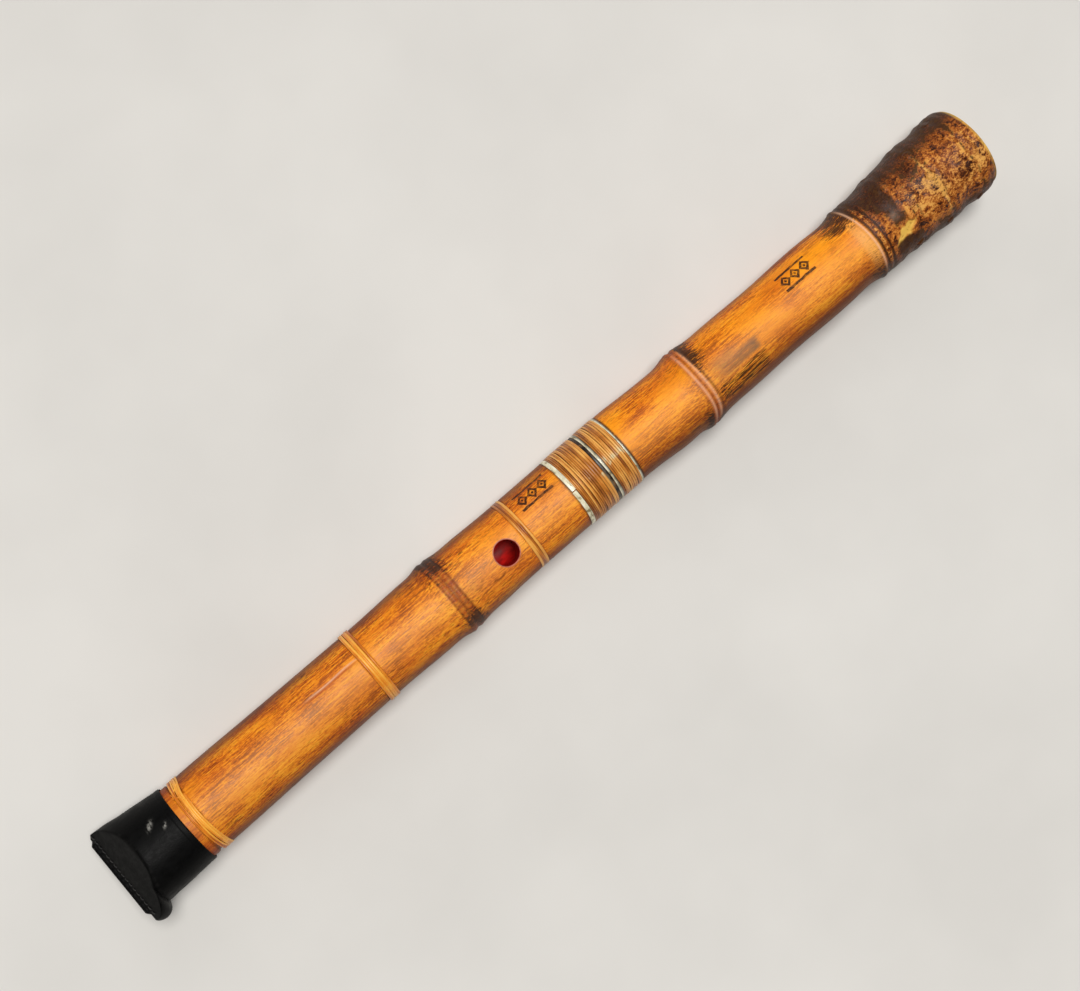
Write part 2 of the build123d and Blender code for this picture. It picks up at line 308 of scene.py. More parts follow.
class Shader:
    """A node material being built. Most methods add a step and return its value; colours are 0-255 values."""

    def __init__(self, name):
        self.material = bpy.data.materials.new(name)
        self.material.use_nodes = True
        self.tree = self.material.node_tree
        self.surface = self.tree.nodes["Principled BSDF"]
        self.coordinates = Value(self, self.step("ShaderNodeTexCoord").outputs["Object"])

    def step(self, kind, settings=(), **sources):
        node = self.tree.nodes.new(kind)
        for key, value in dict(settings).items():
            setattr(node, key, value)
        for key, value in sources.items():
            self.feed(node.inputs[key.replace("_", " ")], value)
        return node

    def feed(self, socket, value):
        if isinstance(value, Value):
            self.tree.links.new(value.socket, socket)
        elif isinstance(value, tuple) and socket.type == "RGBA":
            socket.default_value = (*srgb(*value), 1)
        else:
            socket.default_value = value

    def put(self, **sources):
        for key, value in sources.items():
            self.feed(self.surface.inputs[key.replace("_", " ")], value)

    def noise(self, stretch, shift=(0, 0, 0), detail=3.0, roughness=0.55, distortion=0.0):
        """Noise of about 0.3 to 0.7; stretch is its waves per metre along X, Y and Z."""
        vector = self.step("ShaderNodeMapping", Vector=self.coordinates, Scale=stretch, Location=shift)
        waves_at = Value(self, vector.outputs[0])
        settings = {"Detail": detail, "Roughness": roughness, "Distortion": distortion}
        node = self.step("ShaderNodeTexNoise", Vector=waves_at, Scale=1.0, **settings)
        return Value(self, node.outputs["Fac"])

    def cells(self, scale):
        """Distance to the middle of the nearest of many small cells."""
        node = self.step("ShaderNodeTexVoronoi", Vector=self.coordinates, Scale=scale)
        return Value(self, node.outputs["Distance"])

    def mark(self, name):
        return Value(self, self.step("ShaderNodeAttribute", {"attribute_name": name}).outputs["Fac"])

    def maths(self, operation, a, b=0.0):
        node = self.step("ShaderNodeMath", {"operation": operation})
        self.feed(node.inputs[0], a)
        self.feed(node.inputs[1], b)
        return Value(self, node.outputs[0])

    def spread(self, value, low, high, to_low=0.0, to_high=1.0):
        """Maps low..high to to_low..to_high, smoothly and clamped."""
        node = self.step("ShaderNodeMapRange", {"interpolation_type": "SMOOTHSTEP"})
        for socket, number in zip(node.inputs[1:5], (low, high, to_low, to_high)):
            socket.default_value = number
        self.feed(node.inputs[0], value)
        return Value(self, node.outputs[0])

    def ramp(self, value, *stops):
        """Colours along a ramp; each stop is (place, colour)."""
        node = self.step("ShaderNodeValToRGB")
        elements = node.color_ramp.elements
        while len(elements) < len(stops):
            elements.new(0.5)
        for element, (place, colour) in zip(elements, stops):
            element.position = place
            element.color = (*srgb(*colour), 1)
        self.feed(node.inputs[0], value)
        return Value(self, node.outputs[0])

    def mix(self, share, a, b):
        """Colour from a to b; 6 and 7 are the inputs, and 2 the output, that this node has for colours."""
        node = self.step("ShaderNodeMix", {"data_type": "RGBA"})
        for number, value in ((0, share), (6, a), (7, b)):
            self.feed(node.inputs[number], value)
        return Value(self, node.outputs[2])

    def done(self, colour, rough, height, strength, distance, **more):
        """Joins colour, roughness and bump, with its distance in millimetres, to the surface."""
        bump = self.step("ShaderNodeBump", Height=height, Strength=strength, Distance=distance * MM)
        self.put(Base_Color=colour, Roughness=rough, Normal=Value(self, bump.outputs[0]), **more)
        return self.material


def srgb(red, green, blue):
    """Linear colour from 0-255 screen values."""
    shares = [c / 255 for c in (red, green, blue)]
    return tuple(((c + 0.055) / 1.055) ** 2.4 if c > 10 / 255 else c / 12.92 for c in shares)


# ---------------------------------------------------------------- materials


CULM_FINISH = {"Coat_Weight": 0.03, "Coat_Roughness": 0.4, "Specular_IOR_Level": 0.2}


def culm_paint(s):
    """Amber lacquered culm: fibre streaks, broad mottling, dark flecks, soot, smudges and burnt rings, with
    painted light on the lit side, painted highlights, painted sheen and painted shade.
    """
    patch = s.noise((45, 110, 110))
    streak = s.noise((42, 1150, 1150), (0, 4, 1), 4, 0.6)
    fine = s.noise((170, 1900, 1900), (2, 0, 3), roughness=0.65)
    speck = s.noise((700, 1800, 1800), (1, 1, 4), 2)
    tone = patch * 0.27 + streak * 0.27 + fine * 0.27 + speck * 0.19
    colour = s.ramp(
        tone,
        (0.44, (146, 60, 3)),
        (0.48, (206, 100, 5)),
        (0.52, (236, 134, 12)),
        (0.58, (252, 168, 36)),
    )
    # Painted light: brighter golden patches on the side that faces the key light.
    colour = s.mix(s.mark("painted_light") * s.spread(patch, 0.36, 0.54, 0.35, 0.8), colour, (252, 156, 12))
    warm = s.spread(s.noise((30, 90, 90), (3, 1, 0), 2), 0.47, 0.66)
    colour = s.mix(warm * 0.35, colour, (206, 90, 8))
    # Painted highlight: a paler band along the top, and on the lit crest beside node four.
    colour = s.mix(s.mark("painted_highlight") * 0.6, colour, (250, 186, 100))
    colour = s.mix(s.mark("shade") * 0.85, colour, (82, 34, 3))
    colour = s.mix(s.mark("redness"), colour, (170, 66, 18))
    dashes = s.noise((260, 1700, 1700), (0, 2, 5), 4, 0.65)
    flecks = s.spread(dashes, 0.54, 0.6) * s.mark("flecks")
    colour = s.mix(flecks * 0.85, colour, (70, 28, 5))
    feather = s.noise((100, 1500, 1500), (1, 0, 4), 4, 0.7)
    soot = s.mark("soot") + (feather - 0.5) * 3.4
    soot = s.spread(soot, 0.3, 0.66) * s.spread(s.mark("soot"), 0.02, 0.3)
    colour = s.mix(soot * 0.9, colour, (38, 18, 7))
    # Grey patches and haze, and painted sheen: greyish highlights on the top of node two's band and on the
    # root.
    grey = s.mark("grey_and_sheen") * s.spread(fine, 0.36, 0.6, 0.45, 1.0)
    colour = s.mix(grey, colour, (124, 92, 66))
    # Burnt lines in the nodes' grooves and scratches, and painted shade: dark lines along the joint rings'
    # and the bindings' edges.
    burn = s.mark("burn") * s.spread(feather, 0.3, 0.55, 0.5, 1.0)
    colour = s.mix(burn, colour, (48, 22, 9))
    colour = s.mix(s.mark("gleam"), colour, (238, 186, 150))
    rough = s.spread(fine, 0.3, 0.7, 0.42, 0.62)
    height = streak * 0.5 + fine * 0.5
    return colour, rough, height


def ornament(s, centre, colour, height):
    """Burns a row of three lozenges between two lines into a culm; centre is its place and angle."""
    place, angle = centre
    culm_radius, half_length, line_place, pitch = 17.8, 8.4, 4.4, 5.6
    x, y, z = (Value(s, axis) for axis in s.step("ShaderNodeSeparateXYZ", Vector=s.coordinates).outputs)
    along = x * (1 / MM) - place
    across = (s.maths("ARCTAN2", y, z) - angle) * culm_radius
    wobble = s.noise((500, 500, 500), (3, 3, 3), 2)
    across = across + (wobble - 0.5) * 0.9
    within_length = s.spread(s.maths("ABSOLUTE", along), half_length + 0.5, half_length)
    folded = s.maths("PINGPONG", along + 5 * pitch, pitch / 2)
    lean = folded * (1 / 2.7) + s.maths("ABSOLUTE", across) * (1 / 3.2)
    ring = s.spread(lean, 0.46, 0.58) * s.spread(lean, 1.1, 1.0)
    dot = s.spread(lean, 0.34, 0.24)
    line = s.spread(s.maths("ABSOLUTE", s.maths("ABSOLUTE", across) - line_place), 0.75, 0.5)
    shape = s.maths("MAXIMUM", s.maths("MAXIMUM", ring, dot), line) * within_length
    uneven = s.spread(s.noise((420, 900, 900), (5, 5, 0), 3), 0.36, 0.55, 0.7, 1.0)
    burn = shape * uneven
    colour = s.mix(burn * 0.94, colour, (34, 14, 8))
    return colour, height + burn * -1.2


def bamboo_material():
    """The upper section's culm."""
    s = Shader("lacquered_bamboo")
    colour, rough, height = culm_paint(s)
    colour, height = ornament(s, upper_ornament, colour, height)
    return s.done(colour, rough, height, 0.55, 0.3, **CULM_FINISH)


def root_material():
    """The lower section: lacquered culm that turns into a mottled, scarred, rough root end."""
    s = Shader("root_bamboo")
    colour, rough, height = culm_paint(s)
    colour, height = ornament(s, lower_ornament, colour, height)
    blotch = s.noise((150, 130, 130), (2, 7, 1), 5, 0.62, 0.6)
    crumb = s.noise((420, 620, 620), (5, 3, 2), 4, 0.7, 0.4)
    grit = s.noise((1300, 1900, 1900), (1, 6, 2), 3, 0.6)
    tone = blotch * 0.36 + crumb * 0.4 + grit * 0.24
    bark = s.ramp(
        tone,
        (0.42, (34, 13, 4)),
        (0.465, (104, 48, 12)),
        (0.51, (166, 90, 28)),
        (0.56, (208, 134, 54)),
    )
    cream = s.mark("cream") + (tone - 0.5) * 7.0
    cream = s.spread(cream, 0.3, 1.1) * s.spread(s.mark("cream"), 0.02, 0.2)
    bark = s.mix(cream * 0.75, bark, (228, 172, 88))
    bark = s.mix(s.mark("redness") * s.spread(crumb, 0.35, 0.6, 0.5, 1.0), bark, (168, 84, 34))
    # Dark patches and grooves of the root, and painted shade down its flanks and under the pared step.
    dark = s.mark("dark_patches_and_shade") + (blotch - 0.5) * 3.2 + (crumb - 0.5) * 3.0
    dark = s.spread(dark, 0.3, 0.9) * s.spread(s.mark("dark_patches_and_shade"), 0.02, 0.3)
    bark = s.mix(dark * 0.9, bark, (30, 13, 5))
    # Painted sheen: a grey highlight on the top of the root.
    bark = s.mix(s.mark("grey_and_sheen"), bark, (142, 118, 96))
    cut = s.mark("cut_wood") * s.spread(crumb, 0.32, 0.5, 0.55, 1.0)
    bark = s.mix(cut, bark, (230, 184, 84))
    end_grain = s.mix(s.spread(s.cells(1100), 0.18, 0.42), (92, 50, 22), (206, 160, 98))
    bark = s.mix(s.mark("end_face"), bark, end_grain)
    root = s.mark("root")
    colour = s.mix(root, colour, bark)
    rough = s.mix(root, rough, s.spread(tone, 0.42, 0.6, 0.4, 0.64))
    height = s.mix(root, height, tone * 2.6)
    return s.done(colour, rough, height, 0.6, 0.35, **CULM_FINISH)


def strand_material(name, dark, middle, light, gloss=0.42):
    """Split cane: fine lines along each strand, which lies round the flute, and its own tone in each turn."""
    s = Shader(name)
    line = s.noise((2600, 90, 90), roughness=0.6)
    patch = s.noise((160, 160, 160), (4, 1, 7))
    tone = line * 0.3 + patch * 0.3 + s.mark("tone") * 0.4
    colour = s.ramp(tone, (0.32, dark), (0.47, middle), (0.62, light))
    worn = s.mark("worn") * s.spread(patch, 0.44, 0.56)
    colour = s.mix(worn, colour, (216, 202, 158))
    # Painted shade in the gaps between the turns.
    colour = s.mix(s.mark("grime_and_shade") * 0.85, colour, (64, 32, 10))
    return s.done(colour, gloss, line, 0.4, 0.12, Coat_Weight=0.1, Coat_Roughness=0.3)


def lacquer_material():
    """Red lacquer of the bore over a slightly uneven ground."""
    s = Shader("bore_lacquer")
    cloud = s.noise((120, 220, 220))
    base = s.mix(s.spread(cloud, 0.35, 0.65), (128, 10, 10), (196, 22, 16))
    ripple = s.noise((300, 500, 500), (1, 2, 3), 2)
    return s.done(base, s.spread(cloud, 0.3, 0.7, 0.4, 0.55), ripple, 0.15, 0.2, Specular_IOR_Level=0.12)


def ivory_material():
    """Pale aged ring with grey stains and fine scratches round it."""
    s = Shader("aged_ivory")
    stain = s.noise((420, 260, 260), detail=4, roughness=0.6)
    scratch = s.noise((5200, 300, 300), (2, 0, 1), 2)
    colour = s.ramp(stain, (0.34, (134, 120, 84)), (0.46, (222, 214, 180)), (0.66, (246, 242, 218)))
    # Stains, and painted shade along the ring's rounded edges.
    colour = s.mix(s.mark("grime_and_shade"), colour, (52, 36, 22))
    return s.done(colour, 0.38, scratch, 0.25, 0.08, Coat_Weight=0.15)


def dark_ring_material():
    """Nearly black pitch and wood at the mating faces, with brown showing through."""
    s = Shader("pitched_ring")
    stain = s.noise((500, 300, 300), detail=4, roughness=0.6)
    colour = s.ramp(stain, (0.38, (14, 9, 6)), (0.55, (46, 27, 16)), (0.7, (112, 76, 42)))
    filler = s.mark("filler") * s.spread(stain, 0.36, 0.52)
    colour = s.mix(filler, colour, (128, 112, 84))
    return s.done(colour, s.spread(stain, 0.3, 0.7, 0.35, 0.6), stain, 0.4, 0.2)


def leather_material():
    """Black leather with a fine pebbled grain, soft creases, a faint sheen and rubbed edges."""
    s = Shader("black_leather")
    crease = s.noise((240, 420, 420), detail=4, roughness=0.6)
    colour = s.ramp(crease, (0.35, (3, 3, 3)), (0.65, (6, 6, 6)))
    rub = s.mark("rub") * s.spread(crease, 0.4, 0.65)
    colour = s.mix(rub, colour, (24, 23, 22))
    scuff = s.mark("scuff") * s.spread(s.noise((900, 300, 900), (3, 3, 1)), 0.4, 0.55)
    colour = s.mix(scuff, colour, (150, 148, 142))
    height = s.cells(1500) * 0.5 + crease * 0.8
    return s.done(colour, s.spread(crease, 0.3, 0.7, 0.46, 0.6), height, 0.3, 0.22, Specular_IOR_Level=0.09)


def felt_material():
    """Dark red felt: soft clumps and fibres, with sheen."""
    s = Shader("wool_felt")
    clump = s.noise((900, 900, 900), detail=5, roughness=0.7)
    colour = s.ramp(clump, (0.35, (44, 10, 12)), (0.65, (96, 26, 28)))
    return s.done(colour, 0.95, clump, 0.7, 0.3, Sheen_Weight=0.5)


def thread_material():
    """Waxed black thread with a twist."""
    s = Shader("waxed_thread")
    twist = s.noise((2600, 900, 2600), detail=2)
    colour = s.ramp(twist, (0.4, (12, 12, 12)), (0.6, (44, 42, 40)))
    return s.done(colour, 0.5, twist, 0.6, 0.15)


def wood_material():
    """Lacquered hardwood of the tenon and its socket."""
    s = Shader("lacquered_hardwood")
    grain = s.noise((30, 800, 800), detail=4, roughness=0.6)
    colour = s.ramp(grain, (0.35, (58, 20, 10)), (0.65, (112, 46, 22)))
    return s.done(colour, s.spread(grain, 0.3, 0.7, 0.25, 0.4), grain, 0.25, 0.15, Coat_Weight=0.4)


def horn_material():
    """Polished dark horn with pale streaks."""
    s = Shader("polished_horn")
    streak = s.noise((80, 500, 500), detail=4, roughness=0.6, distortion=0.4)
    colour = s.ramp(streak, (0.4, (20, 15, 11)), (0.6, (58, 42, 28)), (0.75, (150, 122, 88)))
    return s.done(colour, 0.22, streak, 0.1, 0.1, Coat_Weight=0.3)


def floor_material():
    """Pale matt card with hardly visible mottling."""
    s = Shader("pale_floor")
    cloud = s.noise((6, 6, 6), detail=4)
    colour = s.ramp(cloud, (0.35, (208, 206, 202)), (0.65, (216, 214, 210)))
    s.put(Base_Color=colour, Roughness=0.85)
    return s.material


# ---------------------------------------------------------------- the two sections of the culm


def spaced(start, end, coarse, fine, near, reach):
    """Places from start to end, coarse apart, or fine apart within reach of the places in near."""
    rounding = 1e-6
    places = [start]
    while places[-1] < end:
        close = any(abs(places[-1] - spot) < reach + rounding for spot in near)
        places.append(places[-1] + (fine if close else coarse))
    places[-1] = end
    return np.array(places)


def culm_grid(rows, columns=256):
    """Places and angles over a culm, as two arrays that broadcast to a grid."""
    return rows[:, None], np.linspace(-math.pi, math.pi, columns, endpoint=False)[None, :]


def drifted(x, angle, rings):
    """Places moved by as much as each node's ring wanders along the culm, so that they follow the ring."""
    leans = {node_two: (2.0, -88), node_three: (4.4, 96), node_four: (1.6, -84)}
    moved = np.array(np.broadcast_arrays(x, angle)[0], float)
    for ring in rings:
        drift = 0.4 * np.sin(angle + ring) + 0.2 * np.sin(3 * angle + 2 * ring)
        lean, side = leans.get(ring, (0, 0))
        drift = drift + lean * beside(angle, side, 0.78)
        moved = moved - drift * bump_at(moved, ring, 11)
    return moved


def node_ring(x, ring, ridge):
    """Height added to a culm at one node: two ridges with grooves between and beside them."""
    ridges = bumps(x, (ring + 1.7, 0.8, 1), (ring - 1.6, 0.7, 0.8))
    grooves = bumps(x, (ring, 0.55, 0.9), (ring + 3.3, 0.6, 0.7), (ring - 3.2, 0.6, 0.8))
    return ridge * (ridges - grooves)


def let_in(x, radius, node, depth):
    """Radius of a culm with the seat of a binding let into it."""
    start, end = span(node)
    return radius - depth * within(x, start, end, 0.3)


UPPER_SKIN = skin("upper_tube", upper_ring_x, mouth_x - 1.2)
LOWER_SKIN = skin("lower_tube", 0.8, lower_ring_x)


def upper_skin(x, angle):
    """Radius of the upper section's skin."""
    straight = drifted(x, angle, [node_two])
    radius = np.interp(straight, *UPPER_SKIN) + node_ring(straight, node_two, 0.16)
    radius = radius + 0.05 * np.cos(2 * angle + 0.6) + 0.05 * waves(x, angle, 60, 4, 12, 1)
    radius = radius + 0.05 * waves(x, angle, 9, 9, 20, 3) * bump_at(straight, node_two, 7)
    return radius


def root_scars():
    """Places of the scars left by cut-off roots, as (place, angle), in rings at the three root nodes."""
    rings = ((node_five, 7), (node_six, 9), (node_seven, 10))
    turns = [(x + 1.7, 0.25 - (scar + 0.5) / count) for x, count in rings for scar in range(count)]
    return [(x, TAU * turn) for x, turn in turns]


def scar_height(x, angle):
    """Raised round stump with a groove round it and a dimple, at every root scar."""
    height = np.zeros(np.broadcast(x, angle).shape)
    for place, turn in root_scars():
        away = np.hypot(x - place, 21 * turn_gap(angle, turn))
        height += 0.4 * step_up(away, 2.3, 1.6)
        height -= 0.3 * bump_at(away, 2.6, 0.4) + 0.18 * bump_at(away, 0, 0.6)
    return height


def cut_flats():
    """Flats where roots and ridges were pared off.

    Each is (start, end, angle, half angle, depth, how pale the bared wood is).
    """
    draw = np.random.default_rng(SEED + 40)
    flats = [(50.2, 57.8, 28, 7.5, 0.1, 1.0)]
    for start in (15, 33, 52):
        for angle in np.arange(135, 250, 38):
            begin = start + draw.uniform(-2, 2)
            flats.append((begin, begin + draw.uniform(5, 9), angle + draw.uniform(-10, 10), 12, 0.35, 0.4))
    return [(root_x + start, root_x + end, *rest) for start, end, *rest in flats]


def flat_share(x, angle, flat):
    """1 inside a pared flat, and the radius of its plane."""
    start, end, turn, half, depth, _ = flat
    middle = float(np.interp((start + end) / 2, *LOWER_SKIN))
    plane = (middle - depth) / np.maximum(np.cos(turn_gap(angle, math.radians(turn))), 0.5)
    aslant = x - 18 * turn_gap(angle, math.radians(turn)) + 0.5 * waves(x, angle, 4, 30, 20, 14)
    turned = facing(angle + 0.04 * waves(x, angle, 5, 20, 20, 15), turn, half, 4)
    return within(aslant, start, end, 1.2) * turned, plane


def root_share(x, angle):
    """0 on the lacquered culm and 1 on the rough root end, over a ragged line."""
    straight = drifted(x, angle, [node_four])
    return step_up(straight, node_four + 0.9, node_four - 0.3)


def lower_skin(x, angle):
    """Radius of the lower section's skin."""
    straight = drifted(x, angle, [node_three, node_four, node_five, node_six])
    radius = np.interp(straight, *LOWER_SKIN)
    radius = radius + node_ring(straight, node_three, 0.18) + node_ring(straight, node_four, 0.22)
    bow = step_up(x, lower_ring_x - 2, lower_ring_x - 30) * step_up(x, 14, 70)
    radius = radius + 1.4 * bow * np.sin(angle)
    radius = radius + 0.05 * np.cos(2 * angle + 2) + 0.05 * waves(x, angle, 60, 4, 12, 2)
    rough = root_share(x, angle)
    rough = rough * (0.25 + 0.75 * step_up(x, node_four - 2, node_four - 9))
    rough = rough * (1 - 0.55 * facing(angle, -85, 30, 50))
    lumps = 0.34 * waves(x, angle, 13, 5, 24, 4) + 0.12 * waves(x, angle, 5, 16, 40, 5)
    crumbs = 0.045 * waves(x, angle, 1.8, 55, 60, 7)
    radius = radius + rough * (lumps + crumbs + scar_height(x, angle))
    for flat in cut_flats():
        share, plane = flat_share(x, angle, flat)
        radius = radius + share * np.minimum(plane - radius, 0)
    return radius


def hole_cutter(centre, side, radius):
    """Closed cutter for a hole, from outside the bore out past the skin."""
    turn = np.linspace(0, TAU, 96, endpoint=False)
    levels = [side * z * np.ones(96) for z in (4, 12, 24)]
    rings = [np.stack([centre + radius * np.cos(turn), radius * np.sin(turn), z], axis=-1) for z in levels]
    return sheet("cutter", np.array(rings), wrap_columns=True, cap_ends=True)


def slope_cutter():
    """Closed wedge beyond the slanted cut of the blowing edge, found from the CAD inlay's outer face."""
    corners = corners_of("mouth_edge_inlay")
    top = corners[corners[:, 0] > mouth_x - 0.1][:, 2].min()
    foot = corners[corners[:, 0] < corners[:, 0].min() + 0.1][:, 2].min()
    slant = (top - foot) / (mouth_x - corners[:, 0].min())
    ahead, behind = mouth_x + 1, mouth_x - 20
    outline = [(ahead, top + slant), (behind, top - 20 * slant), (ahead, top - 20 * slant)]
    rows = [[(x, y, z) for x, z in outline] for y in (-24, 24)]
    return sheet("cutter", np.array(rows), wrap_columns=True, cap_ends=True)


def inlay_cutter():
    """Closed block a hair larger than the blowing edge's inlay, so that the inlay sits in a pocket."""
    corners = corners_of("mouth_edge_inlay")
    back, wide, ahead = corners[:, 0].min(), corners[:, 1].max(), mouth_x + 1
    half = corners[corners[:, 0] < back + 0.1][:, 1].max()
    outline = [(back, -half), (ahead, -wide), (ahead, wide), (back, half)]
    rows = [[(x, y, z) for x, y in outline] for z in (-9, -24)]
    return sheet("cutter", np.array(rows), wrap_columns=True, cap_ends=True)


def closed_culm(name, rows, outside, before, after):
    """Tube whose outside is the skin over rows; before and after are its other rings, as (place, radius)."""
    x, angle = culm_grid(rows)
    rings = [polar(px, pr, angle[0])[None] for px, pr in before]
    rings.append(polar(x, outside(x, angle), angle))
    rings += [polar(px, pr, angle[0])[None] for px, pr in after]
    return sheet(name, np.concatenate(rings), wrap_rows=True, wrap_columns=True)


def upper_marks(piece):
    """Colour marks of the upper section."""
    x, angle, _ = corner_places(piece)
    ring = drifted(x, angle, [node_two])
    away = np.abs(np.sin(angle + math.radians(8)))
    band = within(ring, node_two - 3.4, node_two + 3.4, 1.0)
    near_node = bump_at(x, node_two, 15)
    patchy = step_up(waves(x, angle, 18, 9, 14, 2), -0.2, 1.2)
    grooves = bumps(ring, (node_two, 0.6, 1), (node_two - 3.2, 0.8, 1), (node_two + 3.3, 0.5, 0.8))
    # Painted shade: the edges below darken the culm along the joint ring and the bindings' seats.
    seats = [(edge, 0.3, 0.12) for node in BINDINGS for edge in span(node)]
    edges = bumps(x, (upper_ring_x + 0.1, 0.45, 1), *seats)
    scratch = within(x, thumb_x + 5.5, thumb_x + 12.5, 2)
    scratch = scratch * bump_at(turn_gap(angle, math.radians(21) + 0.02 * np.sin(0.9 * x)), 0, 0.022)
    mark(piece, "burn", grooves * (0.34 + 0.3 * away) + edges + 0.9 * scratch)
    sides = bumps(ring, (node_two - 4.5, 3.2, 1), (node_two + 5, 3, 0.7))
    hem = bump_at(x, span("upper_binding")[0] - 4, 5) * facing(angle, 32, 20, 20)
    soot = 0.42 * band * (0.5 + away) * (0.4 + patchy) + sides * (0.16 + 0.26 * away) * (0.5 + patchy)
    mark(piece, "soot", soot + 0.3 * hem)
    limb = 0.3 + 0.7 * step_up(away, 0.25, 0.9)
    mark(piece, "flecks", limb * (0.5 + 0.8 * near_node + 0.5 * patchy))
    collar_start, line_start = span("mouth_binding")[1], span("upper_binding")[1]
    collar = step_up(x, collar_start, collar_start + 1)
    along_line = within(x, line_start + 0.5, line_start + 27, 8)
    line = turn_gap(angle, math.radians(-26) + 0.01 * np.sin(0.3 * x))
    red_line = along_line * bump_at(line, 0.04, 0.035)
    mark(piece, "gleam", 0.75 * along_line * bump_at(line, -0.02, 0.02))
    mark(piece, "redness", 0.4 * collar + 0.6 * red_line + 0.45 * band)
    mouth_half = step_up(x, node_two - 20, mouth_x - 50)
    far_side = facing(angle, 80, 40, 70) * (0.24 + 0.08 * mouth_half)
    mark(piece, "shade", np.maximum(0.85 * step_up(away, 0.66, 1.0), far_side) + 0.1 * mouth_half)
    # Painted highlight: a paler band along the top, left off the node's band.
    mark(piece, "painted_highlight", 0.5 * beside(angle, -2, 0.5) * (1 - band))
    # Painted light: brighter golden patches on the top side, towards the key light.
    bright = waves(x, angle, 40, 3, 12, 18) * facing(angle, -14, 40, 50)
    mark(piece, "painted_light", 0.7 * step_up(bright, 0.1, 1.0))
    haze = bump_at(x, node_two - 7, 5) * beside(angle, -12, 0.4)
    # Grey haze near the node, and painted sheen: the band turns greyer towards the top.
    mark(piece, "grey_and_sheen", 0.5 * haze * patchy + 0.4 * band * (1.1 - away))


def upper_culm(material):
    """Upper section: skin with its node, chamfered mouth, plain inside, holes and the blowing edge's cut."""
    near = [node_two, *(edge for node in BINDINGS for edge in span(node))]
    rows = spaced(upper_ring_x, mouth_x - 1.0, 1.2, 0.35, near, 4.5)

    def outside(x, angle):
        radius = upper_skin(x, angle)
        for node, depth in BINDINGS.items():
            radius = let_in(x, radius, node, depth)
        return radius

    chamfered = float(np.interp(mouth_x, *UPPER_SKIN)) - 1.0
    lining_start = span(LININGS[UPPER])[0]
    bore_wall = rim_radius(LININGS[UPPER], mouth_x)
    tenon = rim_radius("joint_tenon", lining_start)
    before = [(joint_x, core_radius), (upper_ring_x, core_radius)]
    after = [(mouth_x, chamfered), (mouth_x, bore_wall), (lining_start, bore_wall)]
    after += [(lining_start, tenon), (joint_x, tenon)]
    piece = closed_culm("upper_culm", rows, outside, before, after)
    cutters = [hole_cutter(thumb_x, 1, hole_radius + lacquer)]
    cutters += [hole_cutter(centre, -1, front_hole_radius + lacquer) for centre in upper_front_x]
    cut(piece, [*cutters, slope_cutter(), inlay_cutter()])
    upper_marks(piece)
    return finish_piece(piece, UPPER, "bamboo", material, "upper_tube")


